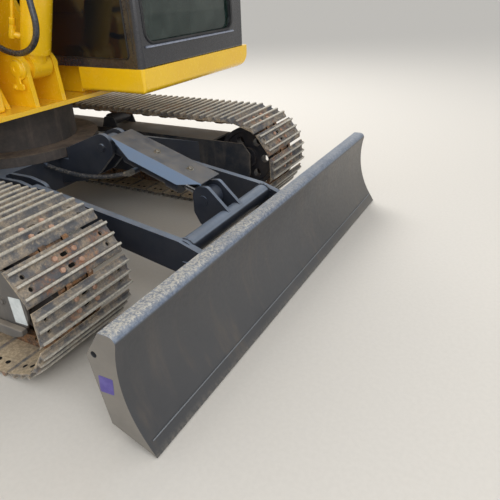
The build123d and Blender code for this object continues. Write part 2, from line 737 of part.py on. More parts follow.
def blade_cover():
    """Bent sheet over the blade cylinder with side flanges whose lower corners are cut off."""
    to_xz = turned(BLADE_HEAD_PIN, heading(BLADE_HEAD_PIN, BLADE_ROD_PIN))
    start = COVER_START
    end = COVER_START + COVER_LENGTH
    top = COVER_HEIGHT
    low = top - COVER_FLANGE_DOWN
    half = COVER_TOP / 2
    out = half + COVER_FLANGE_OUT

    def at_start(point):
        x, z = to_xz(start, point[1])
        return Vector(x, point[0], z)
    sheet = COVER_SHEET
    section = [(-out, low, 0), (-half, top, 4), (half, top, 4), (out, low, 0), (out - 1.3 * sheet, low, 0),
               (half - 0.8 * sheet, top - sheet, 2), (0.8 * sheet - half, top - sheet, 2),
               (1.3 * sheet - out, low, 0)]
    cover = Solid.extrude(outline(section, at_start), up(to_xz(end, 0)) - up(to_xz(start, 0)))
    for a, lead in ((start, COVER_LEAD_BACK), (end, -COVER_LEAD_FRONT)):
        corner = placed(to_xz, [(a, top, 0), (a + lead, low, 0), (a + lead, low - 20, 0),
                                (a - lead, low - 20, 0), (a - lead, top, 0)])
        for y in (-out - 1, half):
            cover -= plate(corner, y, y + COVER_FLANGE_OUT + 1)
    barrel = BLADE_CYLINDER["barrel"]
    for a in COVER_POSTS:
        post = bar(at(to_xz, a, 0), at(to_xz, a, top - sheet / 2), 14)
        cover += post - bar(at(to_xz, a - 40, 0), at(to_xz, a + 40, 0), barrel)
    return cover


keep("blade_cylinder_cover", blade_cover())


# Revolving frame with the boom towers and the cylinder lugs


def revolving_frame():
    """Deck, two towers that carry the boom foot, and the lugs in front that carry the boom cylinder."""
    half = UPPER_HALF - 30
    deck = slab([(FRONT_X, -half, 60), (FRONT_X, half, 60), (WEIGHT_FRONT - 60, half, 0),
                 (WEIGHT_FRONT - 60, -half, 0)], DECK_LOW, DECK_LOW + DECK_THICK)
    top = DECK_LOW + DECK_THICK
    fx, fz = BOOM_FOOT
    r = BOOM_FOOT_RADIUS + 10
    tower = [(fx + 330, top - 5, 0), (fx + r, fz - 40, 120), (fx + r, fz + r, r - 2), (fx - r, fz + r, r - 2),
             (fx - r - 60, fz - 180, 200), (BAY_FRONT + 40, top + 120, 100), (BAY_FRONT + 40, top - 5, 0)]
    inner = BOOM_FOOT_WIDTH / 2 + TOWER_GAP
    cx, cz = CYLINDER_FOOT
    lug = [(LUG_FRONT, top - 5, 0), (cx + 38, cz + 62, 56), (cx - 120, cz + 55, 60), (cx - 260, top - 5, 0)]
    for side in (-1, 1):
        y = BOOM_Y + side * inner
        deck += plate(tower, min(y, y + side * TOWER_PLATE), max(y, y + side * TOWER_PLATE))
        y = BOOM_Y + side * LUG_HALF
        deck += plate(lug, y - LUG_PLATE / 2, y + LUG_PLATE / 2)
    outer = inner + TOWER_PLATE + 10
    deck += pin(BOOM_FOOT, BOOM_Y - outer, BOOM_Y + outer, MAIN_PIN)
    outer = LUG_HALF + LUG_PLATE / 2 + 12
    deck += pin(CYLINDER_FOOT, BOOM_Y - outer, BOOM_Y + outer, MAIN_PIN)
    return deck + bulkhead()


HOOD_HINGE = (BAY_FRONT, HOOD_TOP + HOOD_HINGE_UP)


def bulkhead():
    """Upright plate behind the boom's foot with the fixed ears of the hood's hinges."""
    x = BAY_FRONT + BULKHEAD_GAP
    hx, hz = HOOD_HINGE
    low = min(HOOD_HINGES) - 4 * HINGE_PLATE
    high = max(HOOD_HINGES) + 4 * HINGE_PLATE
    wall = block(x, x + BULKHEAD, low, high, DECK_LOW + DECK_THICK - 5, HOOD_TOP - BULKHEAD)
    ear = [(x, HOOD_TOP - 3 * BULKHEAD, 0), (x + BULKHEAD, HOOD_TOP - 3 * BULKHEAD, 0), (x + BULKHEAD, hz - 5, 0),
           (hx + HINGE_EYE - 1, hz + HINGE_EYE, HINGE_EYE - 1), (hx - HINGE_EYE, hz + HINGE_EYE, HINGE_EYE - 1),
           (hx - HINGE_EYE, hz - HINGE_EYE, HINGE_EYE - 1), (x, hz - HINGE_EYE, 0)]
    for y in HOOD_HINGES:
        for side in (-1, 1):
            inner = side * (HINGE_PLATE / 2 + FIT)
            outer = inner + side * HINGE_PLATE
            wall += plate(ear, y + min(inner, outer), y + max(inner, outer))
        wall += pin(HOOD_HINGE, y - 2 * HINGE_PLATE, y + 2 * HINGE_PLATE, HINGE_RADIUS)
    return wall


keep("slew_drum", bar((0, 0, BODY_TOP + RING_THICK + FIT), (0, 0, DECK_LOW), DRUM_RADIUS))
keep("revolving_frame", revolving_frame())


def weight_plan(inside):
    """Plan of the counterweight: straight front, round tail about the slew axis."""
    r = TAIL_RADIUS - inside
    half = UPPER_HALF - inside
    corner = sqrt(r * r - half * half)
    front = WEIGHT_FRONT
    edges = [Edge.make_line(Vector(front, -half, 0), Vector(front, half, 0)),
             Edge.make_line(Vector(front, half, 0), Vector(-corner, half, 0)),
             Edge.make_three_point_arc(Vector(-corner, half, 0), Vector(-r, 0, 0), Vector(-corner, -half, 0)),
             Edge.make_line(Vector(-corner, -half, 0), Vector(front, -half, 0))]
    return Face(Wire(edges))


def lift_hole(x, y):
    """Drilled hole in the counterweight's top, with a chamfered mouth and a drill's cone at its bottom."""
    top = WEIGHT_TOP
    mouth = LIFT_RADIUS + LIFT_CHAMFER
    cone = LIFT_RADIUS * 0.6
    side = [(0, top), (mouth, top), (LIFT_RADIUS, top - LIFT_CHAMFER), (LIFT_RADIUS, top - LIFT_CHAMFER - LIFT_DEPTH),
            (0, top - LIFT_CHAMFER - LIFT_DEPTH - cone)]
    face = Face(Wire(Polyline(*[Vector(x + r, y, z) for r, z in side], close=True).edges()))
    return revolve(face, Axis((x, y, 0), (0, 0, 1)))


def counterweight():
    """Heavy tail casting, its lower edge drawn in, with two lifting holes in its top."""
    low = DECK_LOW + DECK_THICK + FIT
    full = weight_plan(0).moved(Location((0, 0, low + 120)))
    drawn_in = weight_plan(60).moved(Location((0, 0, low)))
    mass = Solid.extrude(full, Vector(0, 0, WEIGHT_TOP - low - 120))
    mass += Solid.make_loft([drawn_in.outer_wire(), full.outer_wire()], ruled=True)
    for y in (-LIFT_Y, LIFT_Y):
        mass -= lift_hole(WEIGHT_FRONT - LIFT_BACK, y)
    return mass


def engine_parts():
    """Engine block, side panels and the hood over them."""
    top = DECK_LOW + DECK_THICK
    half = UPPER_HALF
    block_solid = block(WEIGHT_FRONT + 60, BAY_FRONT - 60, -450, 450, top + FIT, HOOD_TOP - 220)
    panels = []
    for side in (-1, 1):
        y = sorted((side * half, side * (half - SHEET)))
        panels.append(block(WEIGHT_FRONT + 5, BAY_FRONT, y[0], y[1], top, WEIGHT_TOP - FIT))
    return block_solid, panels


def hood():
    """Lid over the engine: a shell with rounded long edges, hinged along its front edge."""
    half = UPPER_HALF
    low = WEIGHT_TOP
    outer = block(WEIGHT_FRONT + 5, BAY_FRONT, -half, half, low, HOOD_TOP)
    inner = block(WEIGHT_FRONT + 5 + SHEET, BAY_FRONT - SHEET, -half + SHEET, half - SHEET,
                  low, HOOD_TOP - SHEET)
    outer = fillet(outer.edges().filter_by(Axis.X).group_by(Axis.Z)[-1], 90)
    hx, hz = HOOD_HINGE
    lug = [(hx - 70, HOOD_TOP - 5, 0), (hx - 5, HOOD_TOP - 5, 0), (hx + HINGE_EYE, hz - HINGE_EYE + 2, HINGE_EYE - 3),
           (hx + HINGE_EYE, hz + HINGE_EYE, HINGE_EYE - 1), (hx - 30, hz + HINGE_EYE, HINGE_EYE - 1)]
    for y in HOOD_HINGES:
        outer += plate(lug, y - HINGE_PLATE / 2, y + HINGE_PLATE / 2)
        outer -= pin(HOOD_HINGE, y - HINGE_PLATE, y + HINGE_PLATE, HINGE_RADIUS + FIT)
    return outer - inner


keep("counterweight", counterweight())
engine, panels = engine_parts()
keep("engine_block", engine)
keep("engine_side_panels", *panels)
keep("engine_hood", hood())


def right_side():
    """Tank behind and the lower tool box in front of it, on the right of the boom."""
    top = DECK_LOW + DECK_THICK
    half = UPPER_HALF
    tank = block(BAY_FRONT + 10, TANK_FRONT, -half, RIGHT_INNER, top, TANK_TOP)
    tank = fillet(tank.edges().filter_by(Axis.X).group_by(Axis.Z)[-1], 40)
    box = block(TANK_FRONT + 10, BOX_FRONT, -half + 30, RIGHT_INNER, top, BOX_TOP)
    box = fillet(box.edges().filter_by(Axis.Y).group_by(Axis.Z)[-1].sort_by(Axis.X)[-1], 60)
    return tank, box


tank, box = right_side()
keep("tank", tank)
keep("tool_box", box)


# Cab

CAB_SIDE = [(CAB_FRONT, CAB_LOW, 10), (CAB_FRONT - 15, CAB_LOW + 520, 300), (CAB_ROOF_FRONT, CAB_ROOF, 90),
            (CAB_BACK, CAB_ROOF, 90), (CAB_BACK, CAB_LOW, 20)]


def cab_plan(wider, round_front):
    """Plan of the cab with rounded front corners, its left side moved out by wider."""
    return [(CAB_BACK, CAB_RIGHT, 20), (CAB_FRONT, CAB_RIGHT, round_front), (CAB_FRONT, CAB_LEFT + wider, round_front),
            (CAB_BACK, CAB_LEFT + wider, 20)]


def cab_frame():
    """Cab shell with its roof, posts and walls, windows and the door opening cut out."""
    shell = plate(CAB_SIDE, CAB_RIGHT, CAB_LEFT)
    shell &= slab(cab_plan(0, POST_ROUND), CAB_LOW - 1, CAB_ROOF + 1)
    room = inset(CAB_SIDE, CAB_WALL)
    shell -= plate(room, CAB_RIGHT + CAB_WALL, CAB_LEFT - CAB_WALL)
    shell -= block(CAB_BACK + CAB_WALL, CAB_FRONT - CAB_WALL, CAB_RIGHT + CAB_WALL, CAB_LEFT - CAB_WALL,
                   CAB_LOW - 1, CAB_LOW + CAB_WALL + 1)
    for cutter in window_cutters():
        shell -= cutter
    shell -= plate(door_corners(0), CAB_LEFT - CAB_WALL - 1, CAB_LEFT + 1)
    for z in DOOR_HINGES:
        shell += door_hinge(z, False)
    return shell


def door_hinge(z, leaf):
    """One half of a door hinge: the knuckle below with the pin for the cab, the one above for the door."""
    x = DOOR_BACK
    y = CAB_LEFT + DOOR_HINGE_OUT
    low = z + FIT if leaf else z - DOOR_KNUCKLE
    high = z + DOOR_KNUCKLE if leaf else z
    side = 1 if leaf else -1
    near = x + side * (DOOR_GAP if leaf else 0)
    far = x + side * 60
    knuckle = bar((x, y, low), (x, y, high), DOOR_HINGE_OUT - 1)
    knuckle += slab([(x, y - 2, 0), (x, y + 4, 0), (far, CAB_LEFT + 5, 0), (far, CAB_LEFT, 0), (near, CAB_LEFT, 0)],
                    low, high)
    if leaf:
        return knuckle - bar((x, y, low), (x, y, high), HINGE_RADIUS - 2 + FIT)
    return knuckle + bar((x, y, low), (x, y, z + DOOR_KNUCKLE), HINGE_RADIUS - 2)


def door_corners(inside):
    """Outline of the door opening, or of the door when moved inside."""
    low = CAB_LOW + 30 + inside
    high = CAB_ROOF - 110 - inside
    front = DOOR_FRONT - inside
    back = DOOR_BACK + inside
    return [(front, low, 60), (front, high, 60), (back, high, 60), (back, low, 60)]


def window_cutters():
    """Openings: upper and lower front window, right side window, rear window."""
    y0 = CAB_RIGHT + POST
    y1 = CAB_LEFT - POST
    x = CAB_FRONT
    round_corner = WINDOW_ROUND
    lower = [(y0 - 20, CAB_LOW + 110, round_corner), (y1 - 65, CAB_LOW + 110, round_corner),
             (y1 - 65, CAB_LOW + 500, 20), (y0 - 20, CAB_LOW + 500, 20)]

    def in_front(point):
        return Vector(x - 120, *point)
    cutters = [block(x - 400, x + 60, y0, y1, CAB_LOW + 560, CAB_ROOF - 160),
               Solid.extrude(outline(lower, in_front), Vector(180, 0, 0)),
               block(CAB_BACK - 10, CAB_BACK + CAB_WALL + 10, y0, y1, CAB_LOW + 820, CAB_ROOF - 160)]
    right = [(CAB_FRONT - 100, CAB_LOW + 100, 60), (CAB_FRONT - 115, CAB_LOW + 540, 200),
             (CAB_ROOF_FRONT - 90, CAB_ROOF - 130, 60), (CAB_BACK + 120, CAB_ROOF - 130, 60),
             (CAB_BACK + 120, CAB_LOW + 600, 60), (DOOR_BACK + 250, CAB_LOW + 100, 60)]
    cutters.append(plate(right, CAB_RIGHT - 1, CAB_RIGHT + CAB_WALL + 1))
    return cutters


def cab_glass():
    """Panes that close the front, right and rear openings, set in the middle of the wall."""
    middle = inset(CAB_SIDE, CAB_WALL / 2 - GLASS / 2)
    skin = plate(middle, CAB_RIGHT + CAB_WALL / 2 - GLASS / 2, CAB_LEFT - CAB_WALL)
    skin -= plate(inset(CAB_SIDE, CAB_WALL / 2 + GLASS / 2), CAB_RIGHT + CAB_WALL / 2 + GLASS / 2, CAB_LEFT)
    panes = []
    for cutter in window_cutters():
        panes += (skin & cutter).solids()
    return panes


keep("cab_frame", cab_frame())
keep("cab_glass", *cab_glass())
keep("cab_floor", block(CAB_BACK + CAB_WALL + FIT, CAB_FRONT - CAB_WALL - 8, CAB_RIGHT + CAB_WALL + FIT,
                        CAB_LEFT - CAB_WALL - FIT, CAB_LOW, CAB_LOW + CAB_FLOOR))


def cab_skirt():
    """Box section under the cab: it overhangs the deck in front, where its edges are rounded."""
    left = CAB_LEFT + SKIRT_OUT
    front = [(CAB_RIGHT, SKIRT_LOW, 20), (left, SKIRT_LOW, SKIRT_ROUND), (left, CAB_LOW - FIT, 0),
             (CAB_RIGHT, CAB_LOW - FIT, 0)]

    def at_back(point):
        return Vector(CAB_BACK, *point)
    skirt = Solid.extrude(outline(front, at_back), Vector(CAB_FRONT - CAB_BACK, 0, 0))
    skirt &= slab(cab_plan(SKIRT_OUT, POST_ROUND / 2), SKIRT_LOW - 1, CAB_LOW)
    low_edge = [(CAB_BACK, SKIRT_LOW, 0), (CAB_FRONT, SKIRT_LOW, 30), (CAB_FRONT, CAB_LOW, 0), (CAB_BACK, CAB_LOW, 0)]
    skirt &= plate(low_edge, CAB_RIGHT - 1, left + 1)
    recess = slab([(CAB_BACK - 60, CAB_RIGHT - 60, 0), (SKIRT_BACK, CAB_RIGHT - 60, 0),
                   (SKIRT_BACK, CAB_RIGHT + SKIRT_IN, 60), (CAB_BACK - 60, CAB_RIGHT + SKIRT_IN, 0)],
                  SKIRT_LOW - 1, CAB_LOW)
    foot = block(CAB_BACK, FRONT_X - SKIRT_IN, CAB_RIGHT + SKIRT_IN, UPPER_HALF - SKIRT_IN, DECK_LOW + DECK_THICK + FIT,
                 CAB_LOW - FIT)
    return skirt - recess + foot


def cab_door():
    """Door leaf with its window, as thick as the wall."""
    leaf = plate(door_corners(DOOR_GAP), CAB_LEFT - CAB_WALL, CAB_LEFT)
    window = [(DOOR_FRONT - 75, CAB_LOW + 560, 50), (DOOR_FRONT - 75, CAB_ROOF - 190, 50),
              (DOOR_BACK + 75, CAB_ROOF - 190, 50), (DOOR_BACK + 75, CAB_LOW + 560, 50)]
    leaf -= plate(window, CAB_LEFT - CAB_WALL, CAB_LEFT)
    pane = plate(window, CAB_LEFT - CAB_WALL / 2 - GLASS / 2, CAB_LEFT - CAB_WALL / 2 + GLASS / 2)
    for z in DOOR_HINGES:
        leaf += door_hinge(z, True)
    return leaf, pane


keep("cab_skirt", cab_skirt())
leaf, pane = cab_door()
keep("cab_door", leaf)
keep("cab_door_glass", pane)


def seat():
    """Seat base, cushion and back."""
    y0 = (CAB_RIGHT + CAB_LEFT) / 2 - 240
    y1 = y0 + 480
    floor = CAB_LOW + CAB_FLOOR + FIT
    side = [(-150, floor, 20), (250, floor, 20), (250, floor + 330, 30), (330, floor + 340, 30),
            (330, floor + 460, 50), (0, floor + 450, 40), (-110, floor + 1020, 50), (-230, floor + 1020, 50),
            (-150, floor + 380, 40)]
    return plate(side, y0, y1)


def consoles():
    """Arm consoles on both sides of the seat with a control lever each, and the travel levers in front."""
    floor = CAB_LOW + CAB_FLOOR + FIT
    middle = (CAB_RIGHT + CAB_LEFT) / 2
    solids = []
    for side in (-1, 1):
        y = sorted((middle + side * 260, middle + side * 390))
        stand = block(-120, 380, y[0], y[1], floor, floor + 560)
        lever_y = middle + side * 325
        stand += bar((330, lever_y, floor + 560), (345, lever_y, floor + 720), 22)
        solids.append(stand)
        lever_y = middle + side * 70
        lever = bar((560, lever_y, floor + 30), (560, lever_y, floor + 620), 12)
        lever += block(480, 640, lever_y - 45, lever_y + 45, floor, floor + 30)
        solids.append(lever)
    return solids


keep("seat", seat())
keep("consoles", *consoles())


def rails():
    """Handrail on the tank and one by the cab's front post."""
    x0 = TANK_FRONT - 40
    x1 = BAY_FRONT + 60
    y = RIGHT_INNER - 60
    high = TANK_TOP + 260
    points = [(x0, y, TANK_TOP), (x0, y, high), (x1, y, high), (x1, y, TANK_TOP)]
    path = FilletPolyline(*points, radius=60)
    rail = sweep(Plane(origin=points[0], z_dir=(0, 0, 1)) * Circle(15), path=path)
    return rail


def pipe():
    """Exhaust pipe on the hood."""
    x = WEIGHT_FRONT + 260
    return bar((x, -640, HOOD_TOP + FIT), (x, -640, HOOD_TOP + 260), 40)


keep("handrail", rails())
keep("exhaust", pipe())


# Boom, arm, rocker, link and bucket


def sides(inner, thick):
    """Spans of Y of a pair of plates that stand at inner from the boom's middle plane."""
    return [(BOOM_Y - inner - thick, BOOM_Y - inner), (BOOM_Y + inner, BOOM_Y + inner + thick)]


def strap(start, end, radius, y_low, y_high):
    """Flat bar with round ends from one pin to another."""
    far = reach(start, end) + radius
    corners = [(-radius, -radius, radius - 1), (far, -radius, radius - 1),
               (far, radius, radius - 1), (-radius, radius, radius - 1)]
    return plate(placed(turned(start, heading(start, end)), corners), y_low, y_high)


def ears(to_xz, eye, root, spread, sizes):
    """Pair of ears for a cylinder's eye: from root, the height inside the beam, to round the pin."""
    along, across = eye
    r = sizes["eye"] + EAR_WALL
    lift = r if across > root else -r
    corners = [(along - spread, root, 0), (along - r, across + lift, r - 2),
               (along + r, across + lift, r - 2), (along + r + 10, root, 0)]
    inner = sizes["width"] / 2 + SIDE_GAP
    pair = [plate(placed(to_xz, corners), low, high) for low, high in sides(inner, EAR_PLATE)]
    return pair[0] + pair[1]


def boom():
    """Bent box boom: deep at the knee, foot boss, a fork for the arm in front, ears for the cylinders."""
    half = BOOM_WIDTH / 2
    low = KNEE_UP - BOOM_DEPTH / 2
    high = KNEE_UP + BOOM_DEPTH / 2
    foot = BOOM_FOOT_RADIUS
    tip = BOOM_TIP_RADIUS
    side = [(-20, -foot, 60), (KNEE_ALONG - 60, low, 900), (BOOM_LENGTH, -tip, 60),
            (BOOM_LENGTH + 60, tip, 60), (KNEE_ALONG + 160, high, 700), (KNEE_ALONG - 260, high, 700), (-60, foot, 60)]
    body = plate(placed(boom_frame, side), BOOM_Y - half, BOOM_Y + half)
    body += pin(BOOM_FOOT, BOOM_Y - BOOM_FOOT_WIDTH / 2, BOOM_Y + BOOM_FOOT_WIDTH / 2, foot)
    slot = ARM_WIDTH / 2 + SIDE_GAP
    floor = BOOM_LENGTH - BOOM_FORK_FLOOR
    mouth = BOOM_LENGTH + 2 * tip
    body -= plate(placed(boom_frame, [(floor, -BOOM_DEPTH, 0), (mouth, -BOOM_DEPTH, 0),
                                      (mouth, BOOM_DEPTH, 0), (floor, BOOM_DEPTH, 0)]),
                  BOOM_Y - slot, BOOM_Y + slot)
    body += pin(ARM_PIN, BOOM_Y - half - 15, BOOM_Y + half + 15, MAIN_PIN)
    body -= pin(BOOM_FOOT, BOOM_Y - BOOM_FOOT_WIDTH / 2, BOOM_Y + BOOM_FOOT_WIDTH / 2, MAIN_PIN + FIT)
    body += ears(boom_frame, ARM_CYLINDER_FOOT, high - 60, 200, ARM_CYLINDER)
    outer = ARM_CYLINDER["width"] / 2 + SIDE_GAP + EAR_PLATE + 10
    body += pin(ARM_FOOT_PIN, BOOM_Y - outer, BOOM_Y + outer, MAIN_PIN)
    eye = turned((0, 0), BOOM_EYE_LIFT)(BOOM_EYE_REACH, 0)
    body += ears(boom_frame, eye, low + 30, 200, BOOM_CYLINDER)
    head = BOOM_CYLINDER["width"] / 2 + SIDE_GAP + EAR_PLATE
    for y_low, y_high in sides(head, 12):
        body += pin(BOOM_ROD_PIN, y_low, y_high, MAIN_PIN + 10)
    return body


def arm():
    """Tapered box arm with a forked tail for the arm cylinder and ears for the bucket cylinder."""
    half = ARM_WIDTH / 2
    tail, rise = ARM_TAIL
    end = ARM_CYLINDER["eye"] + 22
    side = [(tail - end, rise - end + 20, 60), (tail + 200, -ARM_DEPTH / 2 + 10, 150),
            (250, -ARM_DEPTH / 2, 300), (ARM_LENGTH, -ARM_NOSE, 60), (ARM_LENGTH + ARM_NOSE, 0, 60), (ARM_LENGTH, ARM_NOSE, 60),
            (300, ARM_DEPTH / 2, 300), (-50, ARM_DEPTH / 2 + 50, 200), (tail - end, rise + end - 10, 60)]
    body = plate(placed(arm_frame, side), BOOM_Y - half, BOOM_Y + half)
    slot = ARM_CYLINDER["width"] / 2 + SIDE_GAP
    body -= plate(placed(arm_frame, [(tail - 2 * end, -ARM_DEPTH, 0), (ARM_FORK_FLOOR, -ARM_DEPTH, 0),
                                     (ARM_FORK_FLOOR, ARM_DEPTH, 0), (tail - 2 * end, ARM_DEPTH, 0)]),
                  BOOM_Y - slot, BOOM_Y + slot)
    for y_low, y_high in sides(half, 12):
        body += pin(ARM_ROD_PIN, y_low, y_high, MAIN_PIN + 8)
    body += ears(arm_frame, BUCKET_CYLINDER_FOOT, ARM_DEPTH / 2 - 30, 180, BUCKET_CYLINDER)
    outer = BUCKET_CYLINDER["width"] / 2 + SIDE_GAP + EAR_PLATE + 10
    body += pin(BUCKET_FOOT_PIN, BOOM_Y - outer, BOOM_Y + outer, MAIN_PIN - 7)
    body -= pin(ARM_PIN, BOOM_Y - half, BOOM_Y + half, MAIN_PIN + FIT)
    body -= pin(ROCKER_PIN, BOOM_Y - half, BOOM_Y + half, LINK_PIN_RADIUS + FIT)
    body -= pin(BUCKET_PIN, BOOM_Y - half, BOOM_Y + half, LINK_PIN_RADIUS + FIT)
    return body


def rocker():
    """Two plates beside the arm, joined by the rocker pin, with stubs that carry the link."""
    inner = ARM_WIDTH / 2 + SIDE_GAP
    outer = inner + ROCKER_PLATE + 8
    body = pin(ROCKER_PIN, BOOM_Y - outer, BOOM_Y + outer, LINK_PIN_RADIUS)
    for y_low, y_high in sides(inner, ROCKER_PLATE):
        body += strap(ROCKER_PIN, BUCKET_ROD_PIN, LINK_PIN_RADIUS + EYE_WALL, y_low, y_high)
    stub = BUCKET_CYLINDER["width"] / 2 + SIDE_GAP
    for y_low, y_high in sides(stub, outer - stub):
        body += pin(BUCKET_ROD_PIN, y_low, y_high, LINK_PIN_RADIUS)
    return body


def bucket_link():
    """Two plates beside the rod's eye, joined by the boss at the bucket's ears."""
    inner = BUCKET_CYLINDER["width"] / 2 + 2 * SIDE_GAP
    radius = LINK_PIN_RADIUS + EYE_WALL
    body = pin(LINK_PIN, BOOM_Y - inner - LINK_PLATE - 4, BOOM_Y + inner + LINK_PLATE + 4, radius - 2)
    for y_low, y_high in sides(inner, LINK_PLATE):
        body += strap(BUCKET_ROD_PIN, LINK_PIN, radius, y_low, y_high)
        body -= pin(BUCKET_ROD_PIN, y_low, y_high, LINK_PIN_RADIUS + FIT)
    return body


def bucket():
    """Open bucket: one bent sheet between two side plates, a cutting lip with teeth, and two ears."""
    half = BUCKET_WIDTH / 2
    lip = (BUCKET_REACH, 40)
    heel = (BUCKET_REACH - 130, BUCKET_DEPTH - 80)
    back = (BUCKET_MOUTH - 90, 250)
    bottom = (BUCKET_MOUTH + 190, BUCKET_DEPTH, 270)
    profile = [(BUCKET_MOUTH, 0, 20), (BUCKET_REACH - 50, 0, 0), (*lip, 10), (*heel, 230), bottom, (*back, 80)]
    shell = plate(placed(bucket_frame, profile), BOOM_Y - half, BOOM_Y + half)
    inner = ARM_WIDTH / 2 + SIDE_GAP
    ear_x, ear_z = turned((0, 0), BUCKET_EAR_LEAD)(BUCKET_EAR_REACH, 0)
    radius = LINK_PIN_RADIUS + EYE_WALL
    ear = [(-radius, -radius, radius - 2), (radius, -radius, radius - 2), (BUCKET_MOUTH + 30, 10, 0),
           (BUCKET_MOUTH - 40, 330, 0), (ear_x + radius, ear_z + 2 * radius, 40),
           (ear_x - radius, ear_z + radius, radius - 2)]
    for y_low, y_high in sides(inner, BUCKET_EAR_PLATE):
        shell += plate(placed(bucket_frame, ear), y_low, y_high)
    open_side = -200
    back_slope = (BUCKET_MOUTH - back[0]) / back[1]
    floor_slope = (lip[0] - heel[0]) / (heel[1] - lip[1])
    room = [(BUCKET_MOUTH - open_side * back_slope, open_side, 0),
            (lip[0] + (lip[1] - open_side) * floor_slope, open_side, 0), (*heel, 230), bottom, (*back, 80)]
    shell -= plate(inset(placed(bucket_frame, room), BUCKET_SHEET), BOOM_Y - half + BUCKET_SIDE,
                   BOOM_Y + half - BUCKET_SIDE)
    to_xz = turned(bucket_frame(*lip), heading(bucket_frame(*heel), bucket_frame(*lip)))
    shell += plate(placed(to_xz, [(-150, -BUCKET_LIP, 0), (5, -BUCKET_LIP, 0), (25, 0, 0), (-150, 0, 0)]),
                   BOOM_Y - half, BOOM_Y + half)
    tooth = [(-45, -BUCKET_LIP - 14, 0), (20, -BUCKET_LIP - 12, 0), (TOOTH_LENGTH, -8, 0),
             (TOOTH_LENGTH, 4, 0), (-45, 14, 0)]
    spacing = (BUCKET_WIDTH - TOOTH_WIDTH) / (TEETH - 1)
    for k in range(TEETH):
        y = BOOM_Y - half + k * spacing
        shell += plate(placed(to_xz, tooth), y, y + TOOTH_WIDTH)
    outer = inner + BUCKET_EAR_PLATE
    shell += pin(BUCKET_PIN, BOOM_Y - outer - 10, BOOM_Y + outer + 10, LINK_PIN_RADIUS)
    for y_low, y_high in sides(outer, 10):
        shell += pin(LINK_PIN, y_low, y_high, LINK_PIN_RADIUS + 8)
    return shell


keep("boom", boom())
keep("arm", arm())
keep("rocker", rocker())
keep("bucket_link", bucket_link())
keep("bucket", bucket())


# Hoses. The points of each route are chosen by hand.

BOOM_HOSE = [(330, 1080), (400, 1047), (487, 1024), (575, 1032), (645, 1078), (672, 1146), (661, 1232),
             (652, 1322), (666, 1401)]
BOOM_HOSE_LAST = 75  # last run, which points straight away from the cylinder's foot pin
BLADE_HOSE = [(420, -158, 454), (478, -152, 440), (560, -143, 427), (645, -133, 420), (730, -123, 424),
              (806, -113, 434), (860, -105, 447), (891, -101, 455)]


def hose(points, radius):
    """Tube of straight runs joined by arcs as large as the runs allow."""
    radii = []
    for a, b, c in zip(points, points[1:], points[2:]):
        turn = radians((b - a).get_angle(c - b))
        radii.append(0.45 * min((b - a).length, (c - b).length) / tan(turn / 2))
    path = FilletPolyline(*points, radius=radii)
    tube = sweep(Plane(origin=points[0], z_dir=points[1] - points[0]) * Circle(radius), path=path)
    print("hose", round(path.length), "long, radii", [round(r) for r in radii])
    return tube


def collar(end, neighbour, radius):
    """Steel collar that carries on from a hose's end, in line with its last run."""
    away = (end - neighbour).normalized()
    start = end + away * FIT
    return Solid.make_cylinder(radius, HOSE_COLLAR, Plane(origin=start, z_dir=away))


def boom_hose():
    """The hose beside the boom cylinder, its collar on the right tower and its port on the barrel."""
    route = [Vector(x, BOOM_HOSE_Y, z) for x, z in BOOM_HOSE]
    angle = heading(CYLINDER_FOOT, BOOM_HOSE[-1])
    x, z = turned(CYLINDER_FOOT, angle)(reach(CYLINDER_FOOT, BOOM_HOSE[-1]) + BOOM_HOSE_LAST, 0)
    route.append(Vector(x, BOOM_HOSE_Y, z))
    radius = BOOM_HOSE_RADIUS + COLLAR_WALL
    low = collar(route[0], route[1], radius)
    tower = BOOM_Y - BOOM_FOOT_WIDTH / 2 - TOWER_GAP
    seat_x, seat_z = BOOM_HOSE[0]
    low += block(seat_x - 120, seat_x - 18, tower - TOWER_PLATE, tower + 20, seat_z - 15, seat_z + 45)
    high = collar(route[-1], route[-2], radius)
    away = (route[-1] - route[-2]).normalized()
    elbow = route[-1] + away * HOSE_COLLAR
    axis = turned(CYLINDER_FOOT, heading(CYLINDER_FOOT, BOOM_ROD_PIN))
    axis_x, axis_z = axis(reach(CYLINDER_FOOT, (x, z)), 0)
    toward = Vector(axis_x, BOOM_Y, axis_z) - elbow
    back = elbow - toward.normalized() * (radius + 2)
    stub = toward.length + radius + 2 - BOOM_CYLINDER["rod"] - 12
    high += Solid.make_cylinder(radius + 2, stub, Plane(origin=back, z_dir=toward))
    return hose(route, BOOM_HOSE_RADIUS), low, high


def blade_hose():
    """The hose from the centre frame to the blade cylinder, its collar, its elbow and the cylinder's port."""
    route = [Vector(*point) for point in BLADE_HOSE]
    radius = BLADE_HOSE_RADIUS + COLLAR_WALL
    low = collar(route[0], route[1], radius - 2)
    px, pz = BLADE_PORT
    elbow = Vector(px, BLADE_ELBOW_Y, pz)
    ferrule = elbow - route[-1]
    start = Plane(origin=route[-1] + ferrule.normalized() * FIT, z_dir=ferrule)
    fitting = Solid.make_cylinder(radius - 2, ferrule.length - FIT, start)
    fitting += bar((px, BLADE_ELBOW_Y - radius, pz), (px, -BLADE_PORT_OUT - FIT, pz), radius)
    port = bar((px, -BLADE_PORT_OUT, pz), (px, -BLADE_CYLINDER["rod"] - 6, pz), radius)
    return hose(route, BLADE_HOSE_RADIUS), low, fitting, port


tube, tower_collar, barrel_port = boom_hose()
keep("boom_hose", tube)
keep("revolving_frame", pieces["revolving_frame"] + tower_collar)
keep("boom_cylinder_barrel", pieces["boom_cylinder_barrel"] + barrel_port)
tube, frame_collar, elbow, port = blade_hose()
keep("blade_hose", tube)
keep("blade_hose_elbow", elbow)
keep("centre_frame", pieces["centre_frame"] + frame_collar)
keep("blade_cylinder_barrel", pieces["blade_cylinder_barrel"] + port)


